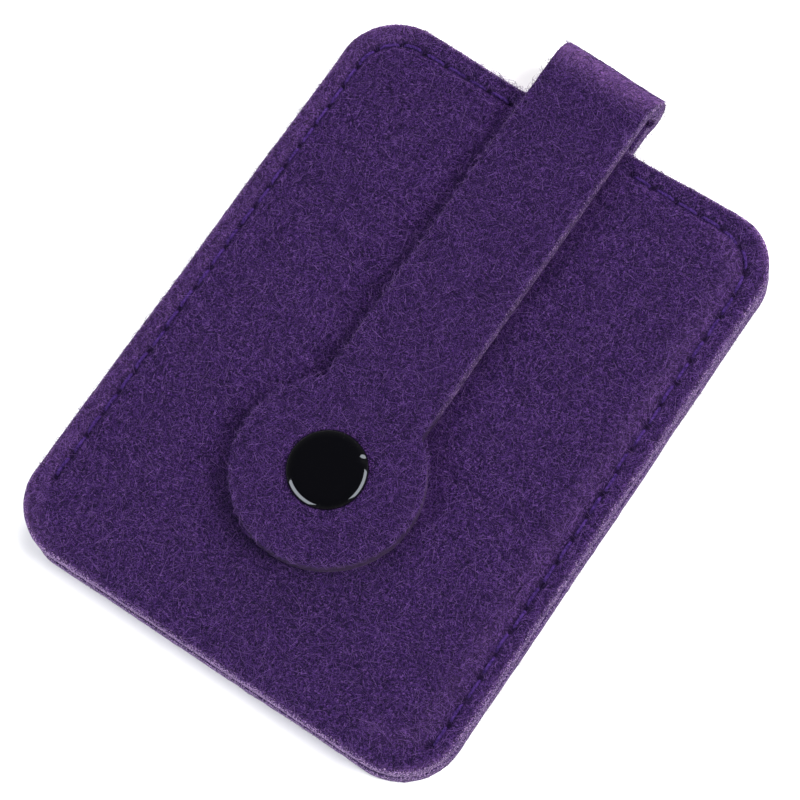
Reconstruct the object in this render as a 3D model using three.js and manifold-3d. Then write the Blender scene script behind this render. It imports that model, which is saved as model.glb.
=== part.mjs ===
// Needle case: a flat sleeve of two thick wool felt panels, sewn together on three sides.
// A felt strap comes out of a slot in the closed end, folds over in a narrow loop and
// closes on the front panel with a press stud. Inside, the strap is riveted to a thin
// felt leaf that carries six sewing needles and slides out of the open mouth.
//
// Millimetres, +Z up. The origin is the middle of the back panel's outer face.
// +X runs across the case and +Y runs along it, from the open mouth to the strap slot.

import * as THREE from 'three';
import { mergeVertices } from 'three/addons/utils/BufferGeometryUtils.js';
import Module from 'manifold-3d';

const wasm = await Module();
wasm.setup();

// ---- Driving dimensions: sleeve ----
const CASE_WIDTH = 75;
const CASE_LENGTH = 100;
const CASE_CORNER = 10;
const FELT = 3.7;
const PLY_GAP = 0.3;
const POCKET_RELIEF = 0.6;
const POCKET_WIDTH = 63;
const POCKET_TOP_MARGIN = 6;
const POCKET_CORNER = 5;

// ---- Driving dimensions: seams ----
const SEAM_INSET = 3;
const SEAM_CORNER = 7;
const LEFT_SEAM_START = 10;
const RIGHT_SEAM_START = 7;
const RIGHT_SEAM_DRIFT = 0.75;
const SEAM_TO_STRAP_MIDDLE = 11;
const STITCH_PITCH = 4;
const GROOVE_WIDTH = 1.6;
const GROOVE_DEPTH = 0.8;
const GROOVE_OVERRUN = 1.4;
const GROOVE_CORNER_STEPS = 6;
const HOLE_LENGTH = 1.9;
const HOLE_WIDTH = 1.1;
const THREAD_RADIUS = 0.3;
const THREAD_TOP_DEPTH = 0.45;
const THREAD_LOOP_DEPTH = 3.4;
const THREAD_LOOP_SHOULDER = 2.5;
const THREAD_LOOP_WIDTH = 1;
const THREAD_SIDES = 4;

// ---- Driving dimensions: strap ----
const STRAP_WIDTH = 17.5;
const STRAP_CLEARANCE = 0.3;
const BEND_MID_RADIUS = 3;
const BEND_CENTRE_Y = 55.55;
const BEND_SPLIT_ANGLE = 45;
const BEND_SPLIT_GAP = 4;
const TAB_RADIUS = 14.7;
const SNAP_Y = -18;
const SLOT_SPLIT_Y = 46;
const TAIL_END_Y = 30;
const LAP_LENGTH = 9.2;
const LAP_THICKNESS = 1.15;
const LAP_GAP = 0.4;
const CHANNEL_WIDTH = 18.8;
const CHANNEL_SPARE = 5;
const LEAF_TRAVEL = 62;

// ---- Driving dimensions: press stud ----
const SNAP_CAP_RADIUS = 6.15;
const SNAP_CAP_HEIGHT = 1.2;
const SNAP_CAP_SINK = 0.3;
const SNAP_CAP_RIM_WIDTH = 1.1;
const SNAP_CAP_RIM_HEIGHT = 0.6;
const SNAP_EDGE = 0.3;
const SNAP_SEAT = 0.1;
const SNAP_PIN_RADIUS = 1.2;
const SNAP_BORE_RADIUS = 1.35;
const SOCKET_RADIUS = 5.3;
const SOCKET_HEIGHT = 1.8;
const SOCKET_PLATE = 0.6;
const SOCKET_MOUTH_RADIUS = 2.75;
const STUD_BASE_HEIGHT = 0.7;
const STUD_KNOB_HEIGHT = 1.2;
const STUD_KNOB_RADIUS = 2.4;
const STUD_NECK_RADIUS = 2.1;
const STUD_CAP_RADIUS = 5.5;
const STUD_CAP_HEIGHT = 0.6;
const STUD_CAP_GAP = 0.15;

// ---- Driving dimensions: leaf, needles and rivet ----
const LEAF_THICKNESS = 1.2;
const LEAF_WIDTH = 59;
const LEAF_FOOT_INSET = 2.5;
const LEAF_SHOULDER_Y = 22;
const LEAF_NECK_WIDTH = 18;
const LEAF_CORNER = 6;
const NEEDLE_COUNT = 6;
const NEEDLE_SPACING = 8.4;
const NEEDLE_LENGTH = 38;
const NEEDLE_RADIUS = 0.3;
const NEEDLE_SLIM_RADIUS = 0.18;
const NEEDLE_SIDES = 8;
const NEEDLE_EYE_INSET = 5;
const NEEDLE_HEAD_TIP = 0.15;
const NEEDLE_HEAD = 0.8;
const NEEDLE_TAPER = 6;
const NEEDLE_TIP = 2;
const EYE_LENGTH = 2;
const EYE_WIDTH = 0.26;
const EYE_FROM_END = 1.2;
const NEEDLE_GROOVE_WIDTH = 0.9;
const NEEDLE_GROOVE_FLOOR = 0.2;
const BITE_LENGTH = 9;
const BITE_COVER = 0.25;
const RIVET_HEAD_RADIUS = 3.5;
const RIVET_HEAD_HEIGHT = 0.6;
const RIVET_HEAD_PROUD = 0.15;
const RIVET_EDGE = 0.3;
const RIVET_CAP_HEIGHT = 0.95;
const RIVET_CAP_WALL = 0.35;
const RIVET_CAP_CROWN = 0.3;
const RIVET_DOME_WIDTH = 0.9;
const RIVET_DOME_DROP = 0.15;
const RIVET_SHAFT_RADIUS = 1.1;
const RIVET_HOLE_RADIUS = 1.4;
const RIVET_Y = 34.6;

// ---- Worked out from the driving dimensions ----
const CASE_THICKNESS = 2 * FELT + PLY_GAP;
const MIDDLE_Z = CASE_THICKNESS / 2;
const HALF_LENGTH = CASE_LENGTH / 2;
const CHANNEL_RELIEF = MIDDLE_Z - FELT / 2 - STRAP_CLEARANCE;
const CHANNEL_END_Y = TAIL_END_Y - LEAF_TRAVEL - CHANNEL_SPARE;
const FLAP_UNDERSIDE = CASE_THICKNESS + STRAP_CLEARANCE;
const FLAP_TOP = FLAP_UNDERSIDE + FELT;
const BEND_CENTRE_Z = MIDDLE_Z + BEND_MID_RADIUS;
const BEND_OUTER = BEND_MID_RADIUS + FELT / 2;
const BEND_INNER = BEND_MID_RADIUS - FELT / 2;
const SEAM_X = CASE_WIDTH / 2 - SEAM_INSET;
const SEAM_TOP = HALF_LENGTH - SEAM_INSET;
const SEAM_CORNER_RUN = SEAM_CORNER * Math.PI / 2;
const SEAM_TOP_RUN = SEAM_X - SEAM_CORNER - SEAM_TO_STRAP_MIDDLE;
const LEAF_BOTTOM = MIDDLE_Z - LEAF_THICKNESS / 2;
const LEAF_TOP = MIDDLE_Z + LEAF_THICKNESS / 2;
const LEAF_FOOT_Y = LEAF_FOOT_INSET - HALF_LENGTH;
const LEAF_HEAD_Y = TAIL_END_Y + LAP_LENGTH - LAP_GAP;
const NEEDLE_EYE_Y = LEAF_FOOT_Y + NEEDLE_EYE_INSET;
const NEEDLE_Z = MIDDLE_Z;
const SNAP_CAP_Z = FLAP_TOP - SNAP_CAP_SINK;
const SOCKET_Z = FLAP_UNDERSIDE + STRAP_CLEARANCE;
const STUD_Z = FLAP_UNDERSIDE - STUD_BASE_HEIGHT;
const STUD_CAP_Z = CASE_THICKNESS - CHANNEL_RELIEF + STUD_CAP_GAP;
const STRAP_BOTTOM = MIDDLE_Z - FELT / 2;
const STRAP_TOP = MIDDLE_Z + FELT / 2;
const POST_Z = STRAP_BOTTOM - RIVET_HEAD_PROUD;
const RIVET_CAP_Z = LEAF_TOP + SNAP_SEAT;
const CUT_MARGIN = 1;
const QUARTER_TURN = Math.PI / 2;
const CURVE_SEGMENTS = 8;
const BEND_SEGMENTS = 6;
const ROUND_SIDES = 24;
const SMALL_ROUND_SIDES = 12;
const RIM_STEPS = 3;
const WELD_DISTANCE = 1e-5;

// The two faces of the sleeve: where each starts, and which way its felt lies from there.
const BACK = { outer: 0, inward: 1 };
const FRONT = { outer: CASE_THICKNESS, inward: -1 };

// ---- Materials ----
function material(color, roughness, metalness = 0) {
  return new THREE.MeshStandardMaterial({ color, roughness, metalness });
}

const purpleFelt = () => material(0x3c2657, 0.95);
const creamFelt = () => material(0xd9cfbb, 0.95);
const purpleThread = () => material(0x35205c, 0.7);
const blackPlastic = () => material(0x0e0e12, 0.15);
const needleSteel = () => material(0xc9ccd1, 0.25, 1);
const rivetBrass = () => material(0xb0893f, 0.35, 1);

// ---- Solids ----
function solid(geometry) {
  const bare = geometry.clone();
  bare.deleteAttribute('normal');
  bare.deleteAttribute('uv');
  const merged = mergeVertices(bare, WELD_DISTANCE);
  const mesh = new wasm.Mesh({
    numProp: 3,
    vertProperties: new Float32Array(merged.attributes.position.array),
    triVerts: new Uint32Array(merged.index.array),
  });
  return new wasm.Manifold(mesh);
}

function toGeometry(shape) {
  const mesh = shape.getMesh();
  const geometry = new THREE.BufferGeometry();
  geometry.setAttribute('position', new THREE.BufferAttribute(mesh.vertProperties, 3));
  geometry.setIndex(new THREE.BufferAttribute(mesh.triVerts, 1));
  geometry.computeVertexNormals();
  return geometry;
}

function cut(base, tools) {
  return tools.reduce((rest, tool) => rest.subtract(solid(tool)), solid(base));
}

function block(x0, x1, y0, y1, z0, z1) {
  const box = new THREE.BoxGeometry(x1 - x0, y1 - y0, z1 - z0);
  return box.translate((x0 + x1) / 2, (y0 + y1) / 2, (z0 + z1) / 2);
}

function disc(radius, y, z0, z1, sides = ROUND_SIDES) {
  const cylinder = new THREE.CylinderGeometry(radius, radius, z1 - z0, sides);
  return cylinder.rotateX(QUARTER_TURN).translate(0, y, (z0 + z1) / 2);
}

// A shape in the XY plane, raised from z0 to z1.
function prism(shape, z0, z1) {
  const extrusion = new THREE.ExtrudeGeometry(shape, {
    depth: z1 - z0,
    bevelEnabled: false,
    curveSegments: CURVE_SEGMENTS,
  });
  return extrusion.translate(0, 0, z0);
}

// A profile of [radius, height] points, turned about the upright axis through (0, y).
function turned(profile, y, sides = ROUND_SIDES) {
  const points = profile.map(([radius, height]) => new THREE.Vector2(radius, height));
  return new THREE.LatheGeometry(points, sides).rotateX(QUARTER_TURN).translate(0, y, 0);
}

// The rounded upper edge of a turned solid, as profile points up to its flat top.
function roundedRim(radius, top, width, height) {
  const rim = [];
  for (let step = 0; step <= RIM_STEPS; step += 1) {
    const angle = QUARTER_TURN * step / RIM_STEPS;
    rim.push([radius - width * (1 - Math.cos(angle)), top - height * (1 - Math.sin(angle))]);
  }
  return rim;
}

function named(name, geometry, surface) {
  const mesh = new THREE.Mesh(geometry, surface);
  mesh.name = name;
  return mesh;
}

function roundedRectangle(width, y0, y1, footRadius, headRadius) {
  const x = width / 2;
  const shape = new THREE.Shape();
  shape.moveTo(-x + footRadius, y0);
  shape.lineTo(x - footRadius, y0);
  shape.absarc(x - footRadius, y0 + footRadius, footRadius, -QUARTER_TURN, 0);
  shape.absarc(x - headRadius, y1 - headRadius, headRadius, 0, QUARTER_TURN);
  shape.absarc(-x + headRadius, y1 - headRadius, headRadius, QUARTER_TURN, 2 * QUARTER_TURN);
  shape.absarc(-x + footRadius, y0 + footRadius, footRadius, 2 * QUARTER_TURN, 3 * QUARTER_TURN);
  return shape;
}

// ---- Seam ----
// The two seams are sewn freely: they start at slightly different heights above the mouth,
// and the right one drifts outwards on its way down. Side is 1 for right and -1 for left.
function seamOf(side, start, drift) {
  const foot = start - HALF_LENGTH;
  const sideRun = SEAM_TOP - SEAM_CORNER - foot;
  const run = sideRun + SEAM_CORNER_RUN + SEAM_TOP_RUN;
  const stitchCount = Math.round(run / STITCH_PITCH);
  return { side, drift, foot, sideRun, run, stitchCount, stitchStep: run / stitchCount };
}

const LEFT_SEAM = seamOf(-1, LEFT_SEAM_START, 0);
const RIGHT_SEAM = seamOf(1, RIGHT_SEAM_START, RIGHT_SEAM_DRIFT);

// A point on a seam's centre line: distance 0 is the first hole near the mouth. The heading
// is the seam's own direction.
function seamPoint(seam, distance) {
  const { side, sideRun } = seam;
  if (distance <= sideRun) {
    const x = side * (SEAM_X + seam.drift * (1 - distance / sideRun));
    return { x, y: seam.foot + distance, heading: QUARTER_TURN };
  }
  const bend = Math.min((distance - sideRun) / SEAM_CORNER, QUARTER_TURN);
  const straight = Math.max(distance - sideRun - SEAM_CORNER_RUN, 0);
  return {
    x: side * (SEAM_X - SEAM_CORNER * (1 - Math.cos(bend)) - straight),
    y: SEAM_TOP - SEAM_CORNER * (1 - Math.sin(bend)),
    heading: QUARTER_TURN + side * bend,
  };
}

function seamOffset(seam, distance, offset) {
  const { x, y, heading } = seamPoint(seam, distance);
  return new THREE.Vector2(x + offset * Math.sin(heading), y - offset * Math.cos(heading));
}

// The pressed groove that the stitches lie in.
function grooveShape(seam) {
  const stops = [-GROOVE_OVERRUN, seam.sideRun];
  for (let step = 1; step <= GROOVE_CORNER_STEPS; step += 1) {
    stops.push(seam.sideRun + SEAM_CORNER_RUN * step / GROOVE_CORNER_STEPS);
  }
  stops.push(seam.run + GROOVE_OVERRUN);
  const half = GROOVE_WIDTH / 2;
  const outside = stops.map((distance) => seamOffset(seam, distance, half));
  const inside = stops.map((distance) => seamOffset(seam, distance, -half)).reverse();
  return new THREE.Shape([...outside, ...inside]);
}

function stitchHole(seam, index, z0, z1) {
  const { x, y, heading } = seamPoint(seam, index * seam.stitchStep);
  const hole = new THREE.BoxGeometry(HOLE_LENGTH, HOLE_WIDTH, z1 - z0);
  return hole.rotateZ(heading).translate(x, y, (z0 + z1) / 2);
}

// A line of stitches seen from one face: along the groove, down each hole to the middle
// of the case, and up again. It is stepped by its own corner points, not by length.
class StitchPath extends THREE.Curve {
  constructor(seam, face) {
    super();
    const half = THREAD_LOOP_WIDTH / 2;
    const stops = [
      [-half, THREAD_TOP_DEPTH],
      [-half, THREAD_LOOP_SHOULDER],
      [0, THREAD_LOOP_DEPTH],
      [half, THREAD_LOOP_SHOULDER],
      [half, THREAD_TOP_DEPTH],
    ];
    this.corners = [];
    for (let index = 0; index <= seam.stitchCount; index += 1) {
      for (const [along, depth] of stops) {
        const { x, y } = seamPoint(seam, index * seam.stitchStep + along);
        this.corners.push(new THREE.Vector3(x, y, face.outer + face.inward * depth));
      }
    }
  }

  getPoint(t, target = new THREE.Vector3()) {
    const last = this.corners.length - 1;
    const place = THREE.MathUtils.clamp(t, 0, 1) * last;
    const index = Math.min(Math.floor(place), last - 1);
    return target.lerpVectors(this.corners[index], this.corners[index + 1], place - index);
  }

  getUtoTmapping(u) {
    return u;
  }
}

function thread(name, seam, face) {
  const path = new StitchPath(seam, face);
  const section = new THREE.Shape();
  section.absarc(0, 0, THREAD_RADIUS, 0, 4 * QUARTER_TURN);
  // A full circle is drawn in two halves, and each half takes this many segments.
  const curveSegments = THREAD_SIDES / 2;
  const steps = path.corners.length - 1;
  const tube = new THREE.ExtrudeGeometry(section, { steps, curveSegments, extrudePath: path });
  return named(name, toGeometry(solid(tube)), purpleThread());
}

// ---- Felt panels ----
function zSpan(face, nearDepth, farDepth) {
  const near = face.outer + face.inward * nearDepth;
  const far = face.outer + face.inward * farDepth;
  return [Math.min(near, far), Math.max(near, far)];
}

// One panel: seam grooves outside, stitch holes through, and the felt pressed thinner
// inside for the leaf's pocket and for the strap's channel.
function panelSolid(face) {
  const outline = roundedRectangle(
    CASE_WIDTH, -HALF_LENGTH, HALF_LENGTH, CASE_CORNER, CASE_CORNER);
  const pocket = roundedRectangle(
    POCKET_WIDTH, -HALF_LENGTH - POCKET_CORNER - CUT_MARGIN,
    HALF_LENGTH - POCKET_TOP_MARGIN, POCKET_CORNER, POCKET_CORNER);
  const channel = block(
    -CHANNEL_WIDTH / 2, CHANNEL_WIDTH / 2, CHANNEL_END_Y, HALF_LENGTH + CUT_MARGIN,
    ...zSpan(face, CHANNEL_RELIEF, FELT + CUT_MARGIN));
  const tools = [
    prism(pocket, ...zSpan(face, FELT - POCKET_RELIEF, FELT + CUT_MARGIN)),
    channel,
  ];
  for (const seam of [LEFT_SEAM, RIGHT_SEAM]) {
    tools.push(prism(grooveShape(seam), ...zSpan(face, -CUT_MARGIN, GROOVE_DEPTH)));
    for (let index = 0; index <= seam.stitchCount; index += 1) {
      tools.push(stitchHole(seam, index, ...zSpan(face, GROOVE_DEPTH / 2, FELT + CUT_MARGIN)));
    }
  }
  return cut(prism(outline, ...zSpan(face, 0, FELT)), tools);
}

function backPanel() {
  return named('back_panel', toGeometry(panelSolid(BACK)), purpleFelt());
}

// The front panel also carries the stud: its base is sunk from outside, its cap from inside.
function frontPanel() {
  const studFloor = STUD_Z - SNAP_SEAT;
  const capCeiling = STUD_CAP_Z + STUD_CAP_HEIGHT + SNAP_SEAT;
  const tools = [
    disc(SOCKET_RADIUS + SNAP_SEAT, SNAP_Y, studFloor, CASE_THICKNESS + CUT_MARGIN),
    disc(STUD_CAP_RADIUS + SNAP_SEAT, SNAP_Y, MIDDLE_Z, capCeiling),
    disc(SNAP_BORE_RADIUS, SNAP_Y, MIDDLE_Z, CASE_THICKNESS, SMALL_ROUND_SIDES),
  ];
  const drilled = tools.reduce((rest, tool) => rest.subtract(solid(tool)), panelSolid(FRONT));
  return named('front_panel', toGeometry(drilled), purpleFelt());
}

// ---- Strap ----
// The strap's side view is drawn with x along the case and y up, extruded to its width and
// then turned so that the width lies across the case.
function strapStrip(profile) {
  const strip = new THREE.ExtrudeGeometry(profile, {
    depth: STRAP_WIDTH,
    bevelEnabled: false,
    curveSegments: BEND_SEGMENTS,
  });
  const turn = new THREE.Matrix4().makeBasis(
    new THREE.Vector3(0, 1, 0), new THREE.Vector3(0, 0, 1), new THREE.Vector3(1, 0, 0));
  return strip.applyMatrix4(turn).translate(-STRAP_WIDTH / 2, 0, 0);
}

// The stretch of the bend between two angles, in degrees from level, with an optional
// straight leg in front of it or behind it that ends at legEnd.
function bendProfile(from, to, legBefore, legAfter) {
  const start = THREE.MathUtils.degToRad(from);
  const end = THREE.MathUtils.degToRad(to);
  const profile = new THREE.Shape();
  if (legBefore !== undefined) {
    profile.moveTo(legBefore, BEND_CENTRE_Z - BEND_OUTER);
  }
  profile.absarc(BEND_CENTRE_Y, BEND_CENTRE_Z, BEND_OUTER, start, end);
  if (legAfter !== undefined) {
    profile.lineTo(legAfter, BEND_CENTRE_Z + BEND_OUTER);
    profile.lineTo(legAfter, BEND_CENTRE_Z + BEND_INNER);
  }
  profile.absarc(BEND_CENTRE_Y, BEND_CENTRE_Z, BEND_INNER, end, start, true);
  if (legBefore !== undefined) {
    profile.lineTo(legBefore, BEND_CENTRE_Z - BEND_INNER);
  }
  return profile;
}

function strapSlotLength() {
  const profile = bendProfile(-90, -BEND_SPLIT_ANGLE - BEND_SPLIT_GAP / 2, SLOT_SPLIT_Y);
  return named('strap_slot_length', toGeometry(solid(strapStrip(profile))), purpleFelt());
}

function strapLoop() {
  const reach = BEND_SPLIT_ANGLE - BEND_SPLIT_GAP / 2;
  const profile = bendProfile(-reach, reach);
  return named('strap_loop', toGeometry(solid(strapStrip(profile))), purpleFelt());
}

function strapFlap() {
  const profile = bendProfile(BEND_SPLIT_ANGLE + BEND_SPLIT_GAP / 2, 90, undefined, SNAP_Y);
  const tab = disc(TAB_RADIUS, SNAP_Y, FLAP_UNDERSIDE, FLAP_TOP, 2 * ROUND_SIDES);
  const tools = [
    disc(SNAP_CAP_RADIUS + SNAP_SEAT, SNAP_Y, SNAP_CAP_Z - SNAP_SEAT, FLAP_TOP + CUT_MARGIN),
    disc(SOCKET_RADIUS + SNAP_SEAT, SNAP_Y, FLAP_UNDERSIDE - CUT_MARGIN,
      SOCKET_Z + SOCKET_HEIGHT + SNAP_SEAT),
    disc(SNAP_BORE_RADIUS, SNAP_Y, FLAP_UNDERSIDE, FLAP_TOP, SMALL_ROUND_SIDES),
  ];
  const whole = solid(strapStrip(profile)).add(solid(tab));
  const drilled = tools.reduce((rest, tool) => rest.subtract(solid(tool)), whole);
  return named('strap_flap', toGeometry(drilled), purpleFelt());
}

// The strap's inner end: full thickness behind the slot, then thinned to a lap that the
// leaf lies on, with a seat for the rivet's head below.
function strapTail() {
  const x = STRAP_WIDTH / 2;
  const lapEnd = TAIL_END_Y + LAP_LENGTH;
  const headSeat = POST_Z + RIVET_HEAD_HEIGHT + SNAP_SEAT;
  const tail = block(
    -x, x, TAIL_END_Y, SLOT_SPLIT_Y - STRAP_CLEARANCE, STRAP_BOTTOM, STRAP_TOP);
  const tools = [
    block(-x - CUT_MARGIN, x + CUT_MARGIN, TAIL_END_Y - CUT_MARGIN, lapEnd,
      STRAP_BOTTOM + LAP_THICKNESS, STRAP_TOP + CUT_MARGIN),
    disc(RIVET_HEAD_RADIUS + SNAP_SEAT, RIVET_Y, STRAP_BOTTOM - CUT_MARGIN, headSeat),
    disc(RIVET_HOLE_RADIUS, RIVET_Y, STRAP_BOTTOM, STRAP_TOP, SMALL_ROUND_SIDES),
  ];
  return named('strap_tail', toGeometry(cut(tail, tools)), purpleFelt());
}

// ---- Press stud ----
function snapCap() {
  const top = SNAP_CAP_Z + SNAP_CAP_HEIGHT;
  const pinEnd = SOCKET_Z + SOCKET_HEIGHT - SOCKET_PLATE + SNAP_SEAT;
  const profile = [
    [0, pinEnd],
    [SNAP_PIN_RADIUS, pinEnd],
    [SNAP_PIN_RADIUS, SNAP_CAP_Z],
    [SNAP_CAP_RADIUS - SNAP_EDGE, SNAP_CAP_Z],
    [SNAP_CAP_RADIUS, SNAP_CAP_Z + SNAP_EDGE],
    ...roundedRim(SNAP_CAP_RADIUS, top, SNAP_CAP_RIM_WIDTH, SNAP_CAP_RIM_HEIGHT),
    [0, top],
  ];
  return named('snap_cap', toGeometry(solid(turned(profile, SNAP_Y))), blackPlastic());
}

function snapSocket() {
  const top = SOCKET_Z + SOCKET_HEIGHT;
  const profile = [
    [SOCKET_MOUTH_RADIUS, SOCKET_Z],
    [SOCKET_RADIUS - SNAP_EDGE, SOCKET_Z],
    [SOCKET_RADIUS, SOCKET_Z + SNAP_EDGE],
    [SOCKET_RADIUS, top],
    [SNAP_BORE_RADIUS, top],
    [SNAP_BORE_RADIUS, top - SOCKET_PLATE],
    [SOCKET_MOUTH_RADIUS, top - SOCKET_PLATE],
    [SOCKET_MOUTH_RADIUS, SOCKET_Z],
  ];
  return named('snap_socket', toGeometry(solid(turned(profile, SNAP_Y))), blackPlastic());
}

function snapStud() {
  const base = STUD_Z + STUD_BASE_HEIGHT;
  const top = base + STUD_KNOB_HEIGHT;
  const profile = [
    [SNAP_BORE_RADIUS, STUD_Z],
    [SOCKET_RADIUS, STUD_Z],
    [SOCKET_RADIUS, base - SNAP_EDGE],
    [SOCKET_RADIUS - SNAP_EDGE, base],
    [STUD_NECK_RADIUS, base],
    [STUD_KNOB_RADIUS, (base + top) / 2],
    [STUD_NECK_RADIUS, top],
    [SNAP_BORE_RADIUS, top],
    [SNAP_BORE_RADIUS, STUD_Z],
  ];
  return named('snap_stud', toGeometry(solid(turned(profile, SNAP_Y))), blackPlastic());
}

function snapStudCap() {
  const pinEnd = STUD_Z + STUD_BASE_HEIGHT + STUD_KNOB_HEIGHT - SNAP_SEAT;
  const profile = [
    [0, STUD_CAP_Z],
    [STUD_CAP_RADIUS - SNAP_EDGE, STUD_CAP_Z],
    [STUD_CAP_RADIUS, STUD_CAP_Z + SNAP_EDGE],
    [STUD_CAP_RADIUS, STUD_CAP_Z + STUD_CAP_HEIGHT],
    [SNAP_PIN_RADIUS, STUD_CAP_Z + STUD_CAP_HEIGHT],
    [SNAP_PIN_RADIUS, pinEnd],
    [0, pinEnd],
  ];
  return named('snap_stud_cap', toGeometry(solid(turned(profile, SNAP_Y))), blackPlastic());
}

// ---- Rivet ----
function rivetPost() {
  const shoulder = POST_Z + RIVET_HEAD_HEIGHT;
  const shaftEnd = RIVET_CAP_Z + RIVET_CAP_HEIGHT - RIVET_CAP_CROWN - SNAP_SEAT;
  const profile = [
    [0, POST_Z],
    [RIVET_HEAD_RADIUS - RIVET_EDGE, POST_Z],
    [RIVET_HEAD_RADIUS, POST_Z + RIVET_EDGE],
    [RIVET_HEAD_RADIUS, shoulder],
    [RIVET_SHAFT_RADIUS, shoulder],
    [RIVET_SHAFT_RADIUS, shaftEnd],
    [0, shaftEnd],
  ];
  return named('strap_rivet_post', toGeometry(solid(turned(profile, RIVET_Y))), rivetBrass());
}

function rivetCap() {
  const top = RIVET_CAP_Z + RIVET_CAP_HEIGHT;
  const boreEnd = top - RIVET_CAP_CROWN;
  const profile = [
    [RIVET_HOLE_RADIUS, RIVET_CAP_Z],
    [RIVET_HEAD_RADIUS, RIVET_CAP_Z],
    [RIVET_HEAD_RADIUS, RIVET_CAP_Z + RIVET_CAP_WALL],
    [RIVET_HEAD_RADIUS - RIVET_DOME_WIDTH, top - RIVET_DOME_DROP],
    [0, top],
    [0, boreEnd],
    [RIVET_HOLE_RADIUS, boreEnd],
    [RIVET_HOLE_RADIUS, RIVET_CAP_Z],
  ];
  return named('strap_rivet_cap', toGeometry(solid(turned(profile, RIVET_Y))), rivetBrass());
}

// ---- Leaf and needles ----
function needleX(index) {
  return (index - (NEEDLE_COUNT - 1) / 2) * NEEDLE_SPACING;
}

function leafOutline() {
  const x = LEAF_WIDTH / 2;
  const neck = LEAF_NECK_WIDTH / 2;
  const corner = LEAF_FOOT_Y + LEAF_CORNER;
  const outline = new THREE.Shape();
  outline.moveTo(-x + LEAF_CORNER, LEAF_FOOT_Y);
  outline.lineTo(x - LEAF_CORNER, LEAF_FOOT_Y);
  outline.absarc(x - LEAF_CORNER, corner, LEAF_CORNER, -QUARTER_TURN, 0);
  outline.lineTo(x, LEAF_SHOULDER_Y);
  outline.lineTo(neck, LEAF_HEAD_Y);
  outline.lineTo(-neck, LEAF_HEAD_Y);
  outline.lineTo(-x, LEAF_SHOULDER_Y);
  outline.absarc(-x + LEAF_CORNER, corner, LEAF_CORNER, 2 * QUARTER_TURN, 3 * QUARTER_TURN);
  return outline;
}

// Each needle lies in a groove that it has pressed into the leaf, and the felt covers it
// for the length of one bite.
function needleLeaf() {
  const rivetHole = disc(
    RIVET_HOLE_RADIUS, RIVET_Y, LEAF_BOTTOM - CUT_MARGIN, LEAF_TOP + CUT_MARGIN,
    SMALL_ROUND_SIDES);
  const tools = [rivetHole];
  const floor = LEAF_BOTTOM + NEEDLE_GROOVE_FLOOR;
  const start = NEEDLE_EYE_Y - CUT_MARGIN;
  const end = NEEDLE_EYE_Y + NEEDLE_LENGTH + CUT_MARGIN;
  const biteStart = (start + end - BITE_LENGTH) / 2;
  const biteEnd = biteStart + BITE_LENGTH;
  const half = NEEDLE_GROOVE_WIDTH / 2;
  for (let index = 0; index < NEEDLE_COUNT; index += 1) {
    const x = needleX(index);
    tools.push(block(x - half, x + half, start, end, floor, LEAF_TOP - BITE_COVER));
    tools.push(block(x - half, x + half, start, biteStart, floor, LEAF_TOP + CUT_MARGIN));
    tools.push(block(x - half, x + half, biteEnd, end, floor, LEAF_TOP + CUT_MARGIN));
  }
  const leaf = cut(prism(leafOutline(), LEAF_BOTTOM, LEAF_TOP), tools);
  return named('needle_leaf', toGeometry(leaf), creamFelt());
}

function needle(index) {
  const profile = [
    [0, 0],
    [NEEDLE_SLIM_RADIUS, NEEDLE_HEAD_TIP],
    [NEEDLE_RADIUS, NEEDLE_HEAD],
    [NEEDLE_RADIUS, NEEDLE_LENGTH - NEEDLE_TAPER],
    [NEEDLE_SLIM_RADIUS, NEEDLE_LENGTH - NEEDLE_TIP],
    [0, NEEDLE_LENGTH],
  ];
  const points = profile.map(([radius, along]) => new THREE.Vector2(radius, along));
  const shank = new THREE.LatheGeometry(points, NEEDLE_SIDES);
  const eye = block(
    -EYE_WIDTH / 2, EYE_WIDTH / 2, EYE_FROM_END, EYE_FROM_END + EYE_LENGTH,
    -NEEDLE_RADIUS * 2, NEEDLE_RADIUS * 2);
  const mesh = named(`needle_${index + 1}`, toGeometry(cut(shank, [eye])), needleSteel());
  mesh.position.set(needleX(index), NEEDLE_EYE_Y, NEEDLE_Z);
  return mesh;
}

// ---- Assembly ----
const sleeve = new THREE.Group();
sleeve.add(
  backPanel(),
  frontPanel(),
  thread('left_needle_thread', LEFT_SEAM, FRONT),
  thread('right_needle_thread', RIGHT_SEAM, FRONT),
  thread('left_bobbin_thread', LEFT_SEAM, BACK),
  thread('right_bobbin_thread', RIGHT_SEAM, BACK),
  strapSlotLength(),
  snapStud(),
  snapStudCap(),
);

const leaf = new THREE.Group();
leaf.add(strapTail(), needleLeaf(), rivetCap(), rivetPost());
for (let index = 0; index < NEEDLE_COUNT; index += 1) {
  leaf.add(needle(index));
}

const flap = new THREE.Group();
flap.add(strapFlap(), snapCap(), snapSocket());

const needleCase = new THREE.Group();
needleCase.add(sleeve, leaf, strapLoop(), flap);

export default needleCase;
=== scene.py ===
import math

import bmesh
import bpy
import numpy as np
from mathutils import Matrix, Vector


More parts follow.
